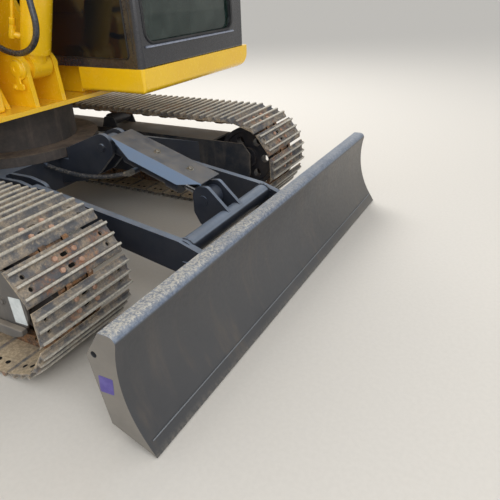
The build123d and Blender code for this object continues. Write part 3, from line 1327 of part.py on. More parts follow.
def centre_shift():
    """How far the machine moves along X so that its middle lies over the origin."""
    low = min(shape.bounding_box().min.X for shape in pieces.values())
    high = max(shape.bounding_box().max.X for shape in pieces.values())
    return -(low + high) / 2


os.makedirs("parts", exist_ok=True)
shift = centre_shift()
print("shift along X", round(shift, 3))
for name, shape in pieces.items():
    export_step(shape.moved(Location((shift, 0, 0))), "parts/" + name + ".step")
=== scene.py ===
import json
import math
import random

import bmesh
import bpy
from mathutils import Matrix, Vector


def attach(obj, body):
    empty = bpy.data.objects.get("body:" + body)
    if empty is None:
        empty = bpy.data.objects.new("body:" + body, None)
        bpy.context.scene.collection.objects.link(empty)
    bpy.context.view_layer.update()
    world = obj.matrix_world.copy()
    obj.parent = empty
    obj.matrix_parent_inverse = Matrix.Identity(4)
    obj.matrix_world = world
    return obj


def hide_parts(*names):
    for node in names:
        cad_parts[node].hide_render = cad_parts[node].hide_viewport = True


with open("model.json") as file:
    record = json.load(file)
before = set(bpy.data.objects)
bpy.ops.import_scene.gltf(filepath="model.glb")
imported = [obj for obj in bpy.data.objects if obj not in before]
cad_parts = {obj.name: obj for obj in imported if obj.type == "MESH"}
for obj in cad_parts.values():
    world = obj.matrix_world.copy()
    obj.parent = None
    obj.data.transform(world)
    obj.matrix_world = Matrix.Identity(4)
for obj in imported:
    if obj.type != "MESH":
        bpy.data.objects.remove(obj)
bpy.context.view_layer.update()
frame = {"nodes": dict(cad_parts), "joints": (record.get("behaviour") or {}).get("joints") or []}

# Places are in millimetres from the slew axis and the ground, as on a drawing, and place() takes them
# into the frame. X points forward, Y to the left, Z up.
MM = 0.001
slew = next(j for j in frame["joints"] if j["name"] == "slew")
AXIS_X = slew["pos_m"][0]
BOOM_Y = -111        # the boom stands right of the middle
rng = random.Random(4)
scene = bpy.context.scene


def place(x, y, z):
    """A point in millimetres from the slew axis, as a point of the frame in metres."""
    return Vector((x * MM + AXIS_X, y * MM, z * MM))


def rgb(r, g, b):
    """A colour as a screen shows it, 0 to 255, as linear light."""
    def linear(v):
        v /= 255
        return v / 12.92 if v <= 0.04045 else ((v + 0.055) / 1.055) ** 2.4
    return (linear(r), linear(g), linear(b), 1)


def add_object(name, data):
    """A new object in the scene."""
    thing = bpy.data.objects.new(name, data)
    scene.collection.objects.link(thing)
    return thing


def to_mesh(name, bm):
    data = bpy.data.meshes.new(name)
    bm.to_mesh(data)
    bm.free()
    return data


# Camera, at the photograph's viewing angle: heading, tilt and roll in degrees, lens in millimetres,
# and the nearest and farthest that it sees in metres
EYE = (2627, -1947, 1297)
CAMERA_ANGLES = (119.391, -27.762, -2.189)
LENS = 37.3
SEEN = (0.05, 200)


def add_camera():
    """Camera from its place, heading, tilt and roll."""
    yaw, pitch, roll = (math.radians(angle) for angle in CAMERA_ANGLES)
    ahead = Vector((math.cos(pitch) * math.cos(yaw), math.cos(pitch) * math.sin(yaw), math.sin(pitch)))
    level = ahead.cross(Vector((0, 0, 1))).normalized()
    above = level.cross(ahead)
    right = level * math.cos(roll) + above * math.sin(roll)
    up = above * math.cos(roll) - level * math.sin(roll)
    data = bpy.data.cameras.new("camera")
    data.lens = LENS
    data.clip_start, data.clip_end = SEEN
    camera = add_object("camera", data)
    camera.matrix_world = Matrix.Translation(place(*EYE)) @ Matrix((right, up, -ahead)).transposed().to_4x4()
    scene.camera = camera


# Materials


class Shader:
    """A node material, with short calls for the nodes that it uses."""

    def __init__(self, name):
        self.material = bpy.data.materials.new(name)
        self.material.use_nodes = True
        self.tree = self.material.node_tree
        self.surface = self.tree.nodes["Principled BSDF"]
        self.coords = self.add("ShaderNodeTexCoord").outputs["Object"]

    def add(self, kind, inputs=None, **settings):
        node = self.tree.nodes.new(kind)
        for key, value in settings.items():
            setattr(node, key, value)
        self.feed(node, inputs or {})
        return node

    def feed(self, node, inputs):
        """Links outputs to a node's inputs, or sets them to colours of 0 to 255, numbers or vectors."""
        for key, value in inputs.items():
            if hasattr(value, "is_output"):
                self.tree.links.new(value, node.inputs[key])
            else:
                node.inputs[key].default_value = rgb(*value) if isinstance(value, tuple) else value

    def noise(self, scale, detail=4, roughness=0.55, stretch=None):
        coords = self.coords
        if stretch:
            mapping = self.add("ShaderNodeMapping", {"Vector": coords, "Scale": Vector(stretch)})
            coords = mapping.outputs["Vector"]
        values = {"Vector": coords, "Scale": scale, "Detail": detail, "Roughness": roughness}
        return self.add("ShaderNodeTexNoise", values).outputs["Fac"]

    def ramp(self, value, low, high, to_low=0.0, to_high=1.0):
        """A smooth step of a value from low to high."""
        values = {"Value": value, "From Min": low, "From Max": high, "To Min": to_low, "To Max": to_high}
        return self.add("ShaderNodeMapRange", values, interpolation_type="SMOOTHSTEP").outputs["Result"]

    def math(self, operation, a, b):
        """Result of two values, held between 0 and 1."""
        return self.add("ShaderNodeMath", {0: a, 1: b}, operation=operation, use_clamp=True).outputs[0]

    def times(self, a, b):
        return self.math("MULTIPLY", a, b)

    def plus(self, a, b):
        return self.math("ADD", a, b)

    def blend(self, a, share, b):
        """Sum of two values in shares of 1."""
        return self.plus(self.times(a, share), self.times(b, round(1 - share, 3)))

    def mix(self, factor, a, b):
        return self.add("ShaderNodeMix", {0: factor, 6: a, 7: b}, data_type="RGBA").outputs[2]

    def axis(self, vector, axis):
        return self.add("ShaderNodeSeparateXYZ", {0: vector}).outputs[axis]

    def facing(self, axis, low, high):
        """How far a face looks along an axis, from not at all at low to fully at high."""
        return self.ramp(self.axis(self.add("ShaderNodeTexCoord").outputs["Normal"], axis), low, high)

    def upward(self, low=0.55, high=0.95):
        return self.facing("Z", low, high)

    def bump(self, height, strength, distance=0.002):
        node = self.add("ShaderNodeBump", {"Strength": strength, "Distance": distance, "Height": height})
        self.feed(self.surface, {"Normal": node.outputs["Normal"]})

    def finish(self, colour, roughness, metallic=0.0, coat=0.0, coat_roughness=0.1):
        self.feed(self.surface, {"Base Color": colour, "Roughness": roughness, "Metallic": metallic,
                                 "Coat Weight": coat, "Coat Roughness": coat_roughness})
        return self.material


def paint(name, base, shade, roughness, dust, dusty, worn=None, wear=0.0, coat=0.0, peel=0.03, streaks=0.0,
          top=None, top_sheen_amount=0.0, flank=None, flank_way=-1):
    """Painted steel: drifting colour, paler tops as a painted sheen, a colour of its own on faces that look
    one way along Y, dust on what faces up, streaks, worn edges.
    """
    s = Shader(name)
    colour = s.mix(s.ramp(s.noise(2.3, 3), 0.3, 0.72), base, shade)
    fine = s.noise(38, 6, 0.65)
    # Painted sheen: faces that look up turn paler towards the top colour, in patches.
    if top:
        top_sheen_patches = s.ramp(s.noise(14, 5, 0.6), 0.25, 0.7, top_sheen_amount * 0.7, top_sheen_amount)
        colour = s.mix(s.times(s.upward(0.45, 0.85), top_sheen_patches), colour, top)
    if flank:
        colour = s.mix(s.facing("Y", 0.25 * flank_way, 0.6 * flank_way), colour, flank)
    film = s.times(s.ramp(s.noise(7, 6, 0.7), 0.36, 0.7), dusty * 0.45)
    settled = s.times(s.upward(), s.ramp(s.noise(11, 8, 0.68), 0.3, 0.66, 0.1, dusty * 1.5))
    cover = s.plus(film, settled)
    if streaks:
        run = s.ramp(s.noise(9, 5, 0.6, stretch=(1.6, 1.6, 0.12)), 0.52, 0.74)
        cover = s.plus(cover, s.times(run, streaks))
    speck = s.ramp(s.noise(160, 3, 0.7), 0.62, 0.74)
    cover = s.plus(cover, s.times(speck, dusty * 0.5))
    colour = s.mix(cover, colour, dust)
    if worn:
        edges = s.ramp(s.add("ShaderNodeNewGeometry").outputs["Pointiness"], 0.52, 0.6)
        chipped = s.times(edges, s.ramp(fine, 0.42, 0.6))
        colour = s.mix(s.times(chipped, wear), colour, worn)
    rough = s.plus(s.ramp(cover, 0.0, 0.8, roughness, 0.85), s.ramp(fine, 0.3, 0.7, -0.03, 0.05))
    s.bump(s.blend(s.noise(240, 2), 0.4, fine), peel)
    return s.finish(colour, rough, 0.0, coat, 0.12)


def blade_paint():
    """Blade paint: charcoal with faint brown streaks, taupe ends, and a pale top rail of painted sky
    reflection, in patches, with dust.
    """
    s = Shader("blade_finish")
    y, z = (s.axis(s.coords, axis) for axis in "YZ")
    colour = s.mix(s.ramp(s.noise(1.7, 4), 0.3, 0.7), (56, 57, 60), (68, 68, 70))
    streak = s.ramp(s.noise(7, 6, 0.62, stretch=(1, 1.5, 0.2)), 0.48, 0.76)
    colour = s.mix(s.times(streak, 0.3), colour, (112, 98, 82))
    fine = s.noise(60, 7, 0.7)
    ends = s.plus(s.facing("Y", -0.7, -0.95), s.facing("Y", 0.7, 0.95))
    taupe = s.mix(s.ramp(s.noise(5, 4), 0.3, 0.7), (130, 124, 115), (116, 111, 104))
    colour = s.mix(s.times(ends, 0.85), colour, taupe)
    colour = s.mix(s.times(s.facing("X", -0.3, -0.8), 0.6), colour, (58, 62, 70))
    far_end = s.times(s.ramp(y, 0.1, 1.1), 0.45)
    colour = s.mix(s.times(far_end, s.facing("X", 0.3, 0.8)), colour, (104, 99, 92))

    # Top rail: a painted sky reflection in blue-greys, in patches and with paler flecks.
    rail = s.times(s.ramp(z, 0.385, 0.415), s.upward(0.12, 0.5))
    rail_sheen_patches = s.ramp(s.noise(3, 4, 0.5, stretch=(1, 0.4, 1)), 0.3, 0.7)
    pale = s.mix(rail_sheen_patches, (84, 96, 116), (114, 126, 142))
    pale = s.mix(s.times(s.ramp(fine, 0.4, 0.62), 0.35), pale, (168, 174, 184))
    colour = s.mix(s.times(rail, 0.92), colour, pale)
    grain = s.ramp(s.noise(110, 8, 0.75), 0.44, 0.58, 0.15, 0.9)
    patch = s.times(s.ramp(y, 0.5, -0.5, 0.25, 1.0), s.ramp(s.noise(5, 5, 0.6), 0.3, 0.55))
    dust = s.times(s.times(rail, s.upward(0.55, 0.95)), s.times(grain, patch))
    colour = s.mix(dust, colour, (200, 194, 180))

    smear = s.times(s.ramp(z, 0.33, 0.405), s.ramp(s.noise(15, 6, 0.7, (1, 1, 0.45)), 0.58, 0.72))
    smear = s.times(smear, s.facing("X", 0.2, 0.7))
    colour = s.mix(s.times(smear, 0.55), colour, (128, 120, 108))
    lip = s.times(s.ramp(z, 0.03, 0.004), s.ramp(fine, 0.4, 0.62, 0.1, 0.5))
    colour = s.mix(lip, colour, (120, 114, 104))
    scratch = s.ramp(s.noise(34, 4, 0.8, stretch=(1, 0.35, 1)), 0.7, 0.76)
    colour = s.mix(s.times(scratch, 0.3), colour, (132, 134, 138))
    s.bump(s.plus(s.times(fine, 0.6), s.times(dust, 0.5)), 0.1, 0.0012)
    return s.finish(colour, s.plus(s.ramp(dust, 0.0, 0.6, 0.34, 0.8), s.ramp(fine, 0.3, 0.7, 0.0, 0.12)))


def shoe_steel():
    """Track steel: grey between the grousers with dried mud and rust, pale tips, dusty inner faces."""
    s = Shader("shoe_finish")
    tip = s.add("ShaderNodeAttribute", attribute_name="tip").outputs["Fac"]
    fine = s.noise(85, 7, 0.7)
    coarse = s.noise(15, 6, 0.66)
    colour = s.mix(s.ramp(coarse, 0.36, 0.62), (92, 92, 94), (128, 122, 114))
    mud = s.mix(s.ramp(fine, 0.35, 0.65), (140, 124, 104), (172, 156, 134))
    colour = s.mix(s.times(s.ramp(s.blend(coarse, 0.6, fine), 0.44, 0.62), 0.85), colour, mud)
    pits = s.times(s.ramp(s.noise(130, 4, 0.75), 0.55, 0.64), 0.55)
    colour = s.mix(pits, colour, (72, 68, 64))
    rust = s.times(s.ramp(s.noise(8, 5), 0.56, 0.7), s.ramp(fine, 0.38, 0.6))
    colour = s.mix(s.times(rust, 0.55), colour, (168, 108, 62))
    inner = s.times(s.ramp(tip, -0.2, -0.38), s.ramp(coarse, 0.3, 0.6, 0.6, 1.0))
    dust = s.mix(s.ramp(fine, 0.38, 0.64), (168, 148, 120), (204, 184, 152))
    colour = s.mix(inner, colour, dust)
    worn = s.times(s.ramp(tip, 0.55, 0.92), s.ramp(s.noise(46, 5, 0.7), 0.25, 0.5, 0.6, 1.0))
    colour = s.mix(worn, colour, s.mix(s.ramp(fine, 0.4, 0.62), (208, 202, 188), (172, 167, 156)))
    s.bump(s.blend(fine, 0.7, s.noise(300, 3, 0.7)), 0.4)
    return s.finish(colour, s.ramp(worn, 0, 1, 0.82, 0.5), s.ramp(worn, 0, 1, 0.0, 0.25))


def rusty_iron(name, pale, dark):
    """Bare iron under light rust and dust."""
    s = Shader(name)
    fine = s.noise(120, 6, 0.7)
    colour = s.mix(s.ramp(s.noise(28, 5, 0.65), 0.38, 0.62), pale, dark)
    colour = s.mix(s.times(s.ramp(fine, 0.5, 0.66), 0.6), colour, (176, 150, 128))
    s.bump(fine, 0.3, 0.001)
    return s.finish(colour, 0.78, 0.1)


def hose_rubber(name, gloss, dust):
    """Rubber hose with a fine woven surface, more or less glossy and dusty."""
    s = Shader(name)
    fine = s.noise(90, 5, 0.7)
    colour = s.mix(s.ramp(s.noise(24, 5), 0.4, 0.66), (34, 38, 46), (58, 62, 70))
    colour = s.mix(s.times(s.ramp(fine, 0.46, 0.66), dust), colour, (146, 138, 126))
    weave = s.add("ShaderNodeTexVoronoi", {"Vector": s.coords, "Scale": 420})
    s.bump(s.blend(weave.outputs["Distance"], 0.6, fine), 0.5, 0.0012)
    return s.finish(colour, s.ramp(fine, 0.3, 0.7, gloss, gloss + 0.2), 0.0, 0.6 - gloss)


def chrome(name, eye, reach, eye_paint):
    """Polished rod with fine turning marks, painted as far as its reach round the place of its eye."""
    s = Shader(name)
    marks = s.noise(380, 2, 0.5, stretch=(0.15, 1, 1))
    s.bump(marks, 0.02, 0.0005)
    apart = s.add("ShaderNodeVectorMath", {0: s.coords, 1: place(*eye)}, operation="DISTANCE")
    bare = s.ramp(apart.outputs["Value"], reach * MM, (reach + 3) * MM)
    polished = s.mix(s.ramp(s.noise(6, 3), 0.3, 0.7), (200, 202, 206), (176, 178, 184))
    rough = s.plus(s.ramp(bare, 0, 1, 0.3, 0.0), s.ramp(marks, 0.3, 0.7, 0.1, 0.2))
    return s.finish(s.mix(bare, eye_paint, polished), rough, bare)


def glass():
    """Dark green cab glass with a thin film of dust."""
    s = Shader("cab_pane")
    film = s.ramp(s.noise(5, 6, 0.7), 0.35, 0.8, 0.0, 0.25)
    s.feed(s.surface, {"Alpha": 0.72})
    colour = s.mix(film, (24, 44, 40), (112, 124, 116))
    return s.finish(colour, s.ramp(film, 0, 0.25, 0.04, 0.2), 0.0, 0.5, 0.03)


def plain(name, base, shade, roughness, grain, depth, metallic=0.0):
    """Moulded or bare material with a fine grain."""
    s = Shader(name)
    fine = s.noise(grain, 5, 0.65)
    s.bump(fine, depth, 0.001)
    colour = s.mix(s.ramp(fine, 0.35, 0.65), base, shade)
    return s.finish(colour, s.ramp(s.noise(9, 4), 0.3, 0.7, roughness - 0.06, roughness + 0.08), metallic)


yellow = paint("yellow_gloss", (255, 206, 24), (250, 197, 20), 0.24, (206, 176, 120), 0.12,
               (190, 150, 50), 0.25, coat=0.6, peel=0.015)
# Undercarriage: a painted highlight in pale blue-grey on faces that look up.
dark_navy = paint("undercarriage_satin", (34, 39, 49), (44, 49, 60), 0.34, (120, 116, 110), 0.2,
                  coat=0.2, peel=0.05, top=(128, 144, 166), top_sheen_amount=0.9)
# Cover: a painted sheen on its top, and a painted sky reflection in light blue on the faces that look to the
# near side.
cover_grey = paint("cover_satin", (60, 64, 72), (72, 76, 84), 0.34, (128, 122, 114), 0.42,
                   peel=0.04, top=(84, 92, 104), top_sheen_amount=0.8, flank=(108, 128, 154))
# Track frames: paler beige tops from the painted sheen, and darker inner faces.
frame_greys = {name: paint("track_frame_satin_" + name, (84, 82, 80), (98, 95, 91), 0.5, (150, 138, 122), 0.4,
                           peel=0.08, streaks=0.25, top=(136, 126, 114), top_sheen_amount=0.7, flank=(34, 40, 50),
                           flank_way=way) for name, way in (("left", -1), ("right", 1))}
ring_dust = paint("slew_ring_dusty", (54, 51, 50), (68, 63, 61), 0.7, (140, 124, 110), 0.5, peel=0.15,
                  streaks=0.3)
idler_black = paint("idler_satin", (34, 36, 44), (46, 46, 52), 0.45, (126, 112, 96), 0.3,
                    (110, 104, 98), 0.6, peel=0.08)
cab_charcoal = paint("cab_satin", (38, 39, 45), (46, 47, 53), 0.26, (120, 116, 110), 0.08,
                     (90, 92, 98), 0.4, coat=0.5, peel=0.012)
black = paint("black_satin", (34, 34, 36), (46, 46, 48), 0.5, (120, 110, 98), 0.4,
              (80, 78, 76), 0.5)
bucket_grey = paint("bucket_worn", (70, 71, 74), (88, 87, 86), 0.5, (146, 132, 114), 0.45,
                    (156, 154, 150), 0.9, peel=0.1, streaks=0.3)
blade_finish = blade_paint()
shoe_finish = shoe_steel()
chain_iron = rusty_iron("chain_iron", (84, 68, 56), (140, 100, 64))
bolt_rust = rusty_iron("bolt_rust", (196, 160, 138), (164, 124, 100))
# Painted shadow: black for the backs of the shoes' holes and of the grilles.
painted_shadow = plain("hole_shadow", (14, 12, 11), (22, 19, 17), 0.95, 60, 0.2)
fitting = plain("fitting_zinc", (160, 156, 148), (130, 126, 118), 0.38, 200, 0.12, 0.7)
engine = plain("engine_cast", (70, 70, 72), (54, 54, 56), 0.6, 60, 0.3)
plastic = plain("moulded_black", (30, 30, 32), (40, 40, 42), 0.55, 260, 0.25)
fabric = plain("seat_cloth", (44, 44, 48), (58, 58, 62), 0.9, 420, 0.5)
rubber_trim = plain("window_rubber", (24, 25, 28), (36, 37, 40), 0.42, 90, 0.15)
label_white = plain("label_white", (224, 228, 226), (206, 212, 210), 0.4, 30, 0.03)
label_purple = plain("label_purple", (78, 66, 138), (94, 84, 152), 0.45, 30, 0.03)
lamp_lens = plain("lamp_lens", (226, 228, 230), (240, 240, 240), 0.12, 40, 0.3)
mirror_face = plain("mirror_face", (206, 210, 214), (212, 216, 220), 0.05, 10, 0.01, 1.0)
weld_grey = plain("weld_grey", (132, 136, 140), (112, 114, 118), 0.5, 300, 0.3, 0.3)
strip_steel = plain("ledge_strip", (150, 156, 172), (132, 138, 152), 0.35, 60, 0.05)
tinted = plain("tinted_pane", (18, 21, 26), (24, 27, 31), 0.09, 4, 0.01)
pane = glass()
boom_rubber = hose_rubber("hose_glossy", 0.16, 0.1)
blade_rubber = hose_rubber("hose_dusty", 0.5, 0.6)

# Rods: the place of the eye's pin, how far its paint reaches, and the paint's colour
EYE_YELLOW = (250, 194, 14)
EYE_NAVY = (52, 58, 70)
ROD_EYES = {"blade": ((1322, 0, 369), 78, EYE_NAVY), "boom": ((1026.8, BOOM_Y, 2659.8), 84, EYE_YELLOW),
            "arm": ((2302, BOOM_Y, 4587), 76, EYE_YELLOW), "bucket": ((3350, BOOM_Y, 2876), 70, EYE_NAVY)}

# Finish by the CAD material's name, and by node where nodes of one material differ
FINISHES = {"yellow_paint": yellow, "undercarriage_paint": dark_navy, "blade_paint": blade_finish,
            "track_steel": shoe_finish, "hose_rubber": boom_rubber, "fitting_steel": fitting,
            "black_paint": black, "cab_paint": cab_charcoal, "glass": pane, "black_plastic": plastic,
            "seat_fabric": fabric, "dark_body_paint": cab_charcoal, "engine_iron": engine,
            "bucket_paint": bucket_grey}
NODE_FINISHES = {"blade_cylinder_cover": cover_grey, "track_frame_left": frame_greys["left"],
                 "track_frame_right": frame_greys["right"], "rollers": idler_black, "idlers": idler_black,
                 "sprockets": chain_iron, "slew_ring_lower": ring_dust, "slew_drum": ring_dust,
                 **{name + "_cylinder_rod": chrome("rod_chrome_" + name, *eye)
                    for name, eye in ROD_EYES.items()}}

# Width in millimetres of the rounding on the nodes' edges
EDGE_WIDTHS = {name: width for width, names in (
    (25, "counterweight"), (20, "seat"), (12, "tank tool_box"), (10, "engine_side_panels"),
    (8, "engine_hood cab_skirt"), (7, "blade_board"), (6, "cab_frame boom"),
    (5, "centre_frame arm track_frame_left track_frame_right"),
    (4, "blade_arms revolving_frame cab_door bucket idlers boom_cylinder_barrel rollers"),
    (3, "rocker bucket_link sprockets blade_cylinder_barrel arm_cylinder_barrel bucket_cylinder_barrel"),
    (1.5, "blade_cylinder_cover")) for name in names.split()}
SAME_SPOT = 0.00002      # metres between corners of the CAD mesh that are one corner
SAME_FACE = 0.2          # degrees between faces that are one flat face
HARD_EDGE = 32           # degrees between faces where an edge is rounded
LARGE_FACES = 80         # how much more a large face counts in the shading of its edges, of 100


def bevel(piece, width, hard_edge=35):
    """Rounds a piece's edges sharper than an angle, by a width in millimetres."""
    edge = piece.modifiers.new("edge", "BEVEL")
    edge.width = width * MM
    edge.segments = 2
    edge.limit_method = "ANGLE"
    edge.angle_limit = math.radians(hard_edge)


def soften(node, width):
    """Rounds a CAD node's hard edges, after joining its flat faces."""
    weld = node.modifiers.new("weld", "WELD")
    weld.merge_threshold = SAME_SPOT
    flat = node.modifiers.new("flat", "DECIMATE")
    flat.decimate_type = "DISSOLVE"
    flat.angle_limit = math.radians(SAME_FACE)
    bevel(node, width, HARD_EDGE)
    for polygon in node.data.polygons:
        polygon.use_smooth = True
    if node.data.has_custom_normals:
        with bpy.context.temp_override(object=node, active_object=node, selected_objects=[node]):
            bpy.ops.mesh.customdata_custom_splitnormals_clear()
    normals = node.modifiers.new("normals", "WEIGHTED_NORMAL")
    normals.weight = LARGE_FACES


def dress_cad():
    """Gives every CAD node its material, and soft edges where they show."""
    for name, node in frame["nodes"].items():
        current = node.data.materials[0].name.split(".")[0]
        finish = NODE_FINISHES[name] if name in NODE_FINISHES else FINISHES[current]
        node.data.materials.clear()
        node.data.materials.append(finish)
        if name in EDGE_WIDTHS:
            soften(node, EDGE_WIDTHS[name])


# Mesh helpers
CORNER_STEPS = 5


def finish_piece(name, bm, body, materials, slot_name, smooth=30):
    """Turns a bmesh into a piece that rides on a body, smooth over edges flatter than an angle."""
    bmesh.ops.recalc_face_normals(bm, faces=bm.faces)
    data = to_mesh(name, bm)
    for material in materials:
        data.materials.append(material)
    piece = add_object(name, data)
    data.shade_smooth()
    data.set_sharp_from_angle(angle=math.radians(smooth))
    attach(piece, body)
    return piece


def trim(name, bm, finish, smooth=40, body="upper"):
    """A piece of plastic, rubber or glass trim."""
    return finish_piece(name, bm, body, [finish], "black_plastic", smooth)


def across(direction):
    """Two unit vectors square to a direction."""
    d = Vector(direction).normalized()
    side = d.cross(Vector((0, 0, 1)))
    if side.length < 0.1:
        side = d.cross(Vector((1, 0, 0)))
    side.normalize()
    return side, d.cross(side)


def circle(bm, centre, u, v, radius, sides, turn=0.0):
    """Ring of vertices round a centre, in the plane of u and v."""
    angles = [turn + 2 * math.pi * k / sides for k in range(sides)]
    return [bm.verts.new(centre + (u * math.cos(a) + v * math.sin(a)) * radius * MM) for a in angles]


def skin(bm, rings, material=0, capped=True):
    """Faces from each ring of vertices to the next, and one over each end where capped."""
    for low, high in zip(rings, rings[1:]):
        for k in range(len(low)):
            j = (k + 1) % len(low)
            bm.faces.new((low[k], low[j], high[j], high[k])).material_index = material
    if capped:
        bm.faces.new(rings[0][::-1]).material_index = material
        bm.faces.new(rings[-1]).material_index = material


def lathe(bm, start, direction, profile, sides=24, material=0, turn=0.0, hollow=False):
    """Turned solid, or a ring where hollow, from a profile of (distance along, radius) in millimetres."""
    d = Vector(direction).normalized()
    u, v = across(d)
    rings = [circle(bm, start + d * along * MM, u, v, radius, sides, turn) for along, radius in profile]
    skin(bm, rings, material, not hollow)


def bolt(bm, point, direction, radius, height, material=0, washer=True):
    """Hexagon head on its washer, chamfered on top."""
    if washer:
        rim = radius * 1.45
        lathe(bm, point, direction, [(0, rim), (2, rim), (2.6, radius * 1.3)], 20, material)
    head = [(1, radius), (height * 0.8, radius), (height, radius * 0.82)]
    lathe(bm, point, direction, head, 6, material, rng.uniform(0, 1))


def prism(bm, corners, y_low, y_high, material=0):
    """Solid from an outline in (x, z) between two values of y, in millimetres."""
    low, high = ([bm.verts.new(place(x, y, z)) for x, z in corners] for y in (y_low, y_high))
    skin(bm, [high, low], material)


def box_mm(bm, low, high, material=0):
    """Block between two corners in millimetres."""
    corners = [(low[0], low[2]), (high[0], low[2]), (high[0], high[2]), (low[0], high[2])]
    prism(bm, corners, low[1], high[1], material)


def tube(bm, points, radius, sides=12, ripple=None):
    """Round bar through points of the frame, its radius in millimetres, or lumpy where ripple says how."""
    rings = []
    u, _ = across(points[1] - points[0])
    for i, point in enumerate(points):
        ahead = (points[min(i + 1, len(points) - 1)] - points[max(i - 1, 0)]).normalized()
        u = (u - ahead * u.dot(ahead)).normalized()
        rings.append(circle(bm, point, u, ahead.cross(u), radius * (ripple(i) if ripple else 1), sides))
    skin(bm, rings)


def loop(bm, points, radius):
    """Closed round moulding through points of the frame."""
    tube(bm, points + points[:2], radius, 8)


def along_line(start, end, count):
    """Evenly spaced points from start to end."""
    return [start.lerp(end, k / (count - 1)) for k in range(count)]


def weld_bead(bm, start, end, radius):
    """Weld along a line, lumpy as the runs of a hand weld."""
    count = max(3, int((end - start).length / (radius * MM * 0.8)))
    tube(bm, along_line(start, end, count), radius, 6, lambda i: 0.85 + 0.2 * (i % 2) * rng.random())


def rounded(corners):
    """Outline with its corners rounded, from (a, b, radius)."""
    points = []
    for k, (a, b, radius) in enumerate(corners):
        here = Vector((a, b))
        back = (Vector(corners[k - 1][:2]) - here).normalized()
        ahead = (Vector(corners[(k + 1) % len(corners)][:2]) - here).normalized()
        half = math.acos(max(-1, min(1, back.dot(ahead)))) / 2
        reach = radius / math.tan(half)
        centre = here + (back + ahead).normalized() * radius / math.sin(half)
        first = here + back * reach - centre
        last = here + ahead * reach - centre
        for i in range(CORNER_STEPS + 1):
            points.append(tuple(centre + first.slerp(last, i / CORNER_STEPS).normalized() * radius))
    return points


def plate_y(bm, outline, y_low, y_high):
    """Plate across Y with rounded corners, from (x, z, radius)."""
    prism(bm, rounded(outline), y_low, y_high)


# Tracks. The sizes are those of the CAD loop.
TRACK_Y = 862
SHOE_HALF = 225
SHOES = 40
AXLE_X = 1076
AXLE_Z = 289
GROUSER_TOP = 56
SHOE_TOP = 36
SHOE_UNDER = 28
GROUSER_PITCH = 48
SHOE_LIP = -75       # the lip dips under the tail of the shoe in front
SHOE_TAIL = 68
PIN_RADIUS = AXLE_Z - GROUSER_TOP
PITCH = (4 * AXLE_X + 2 * math.pi * PIN_RADIUS) / SHOES
GROUSER_SIDE = ((13, 0), (10, 1), (8, 3.4), (6.8, 7), (5.8, 13), (5, 17.5), (3.8, 19.6))
SHOE_CUTS = 18       # divisions of a shoe's width
END_DROP = 3         # how much lower a grouser's worn ends are
BOLT_Y = 45
MUD_HOLE = (17, 8)   # half length and half width of the long holes, and so of the round ones
END_HOLE = (9, 9)
END_HOLE_Y = 180
HOLE_SIDES = 16
HOLE_SHADOW = 10     # radius of the dark discs behind the holes
SWAY = 0.006         # how far a shoe may stand askew, in radians
LINK_INNER = 38      # a side link's distance from the chain's middle, and its thickness
LINK_THICK = 26
BUSHING = ((0, 14), (4, 17), (144, 17), (148, 14))
TRACK_FINISHES = [shoe_finish, bolt_rust, chain_iron, painted_shadow]
BOLTS, CHAIN, SHADOWS = 1, 2, 3      # places in that list


def pin_point(index):
    """Where a chain pin lies on the loop: (x, z) in millimetres."""
    run = 2 * AXLE_X
    half = run + math.pi * PIN_RADIUS
    s = (index % SHOES) * PITCH
    way, s = (1, s) if s < half else (-1, s - half)
    if s < run:
        return way * (s - AXLE_X), AXLE_Z - way * PIN_RADIUS
    t = (s - run) / PIN_RADIUS
    return way * (AXLE_X + PIN_RADIUS * math.sin(t)), AXLE_Z - way * PIN_RADIUS * math.cos(t)


def shoe_profile():
    """Section of a shoe: lip, three grousers with rolled flanks, tail, flat underside."""
    points = [(SHOE_LIP + 14, SHOE_UNDER), (SHOE_LIP, SHOE_UNDER - 8), (SHOE_LIP + 1, SHOE_UNDER - 3),
              (SHOE_LIP + 6, SHOE_UNDER + 2), (SHOE_LIP + 12, SHOE_TOP - 1), (SHOE_LIP + 15, SHOE_TOP)]
    for k in (-1, 0, 1):
        middle = k * GROUSER_PITCH
        points += [(middle - out, SHOE_TOP + up) for out, up in GROUSER_SIDE]
        points += [(middle, GROUSER_TOP)]
        points += [(middle + out, SHOE_TOP + up) for out, up in reversed(GROUSER_SIDE)]
    return points + [(SHOE_TAIL - 1, SHOE_TOP), (SHOE_TAIL, SHOE_UNDER)]


def solid_shoe():
    """One shoe without holes, in its own frame: X along the chain, Y across, Z outwards."""
    bm = bmesh.new()
    rings = []
    for i in range(SHOE_CUTS + 1):
        y = -SHOE_HALF + 2 * SHOE_HALF * i / SHOE_CUTS
        drop = END_DROP / (GROUSER_TOP - SHOE_TOP) if i in (0, SHOE_CUTS) else 0
        rings.append([bm.verts.new((x * MM, y * MM, (z - drop * max(0, z - SHOE_TOP)) * MM))
                      for x, z in shoe_profile()])
    skin(bm, rings)
    bmesh.ops.recalc_face_normals(bm, faces=bm.faces)
    return to_mesh("shoe_blank", bm)


def hole_cutter():
    """The six holes of a shoe as solids: two long ones in the middle and two round ones at each end."""
    bm = bmesh.new()
    for x in (-GROUSER_PITCH / 2, GROUSER_PITCH / 2):
        for y, (long, wide) in ((0, MUD_HOLE), (END_HOLE_Y, END_HOLE), (-END_HOLE_Y, END_HOLE)):
            ring = []
            for k in range(HOLE_SIDES):
                a = 2 * math.pi * k / HOLE_SIDES
                offset = (long - wide) * (1 if math.sin(a) > 0 else -1)
                ring.append((x + wide * math.cos(a), y + offset + wide * math.sin(a)))
            skin(bm, [[bm.verts.new((a * MM, b * MM, z * MM)) for a, b in ring]
                      for z in (SHOE_UNDER - 5, SHOE_TOP + 9)])
    return to_mesh("hole_cutter", bm)


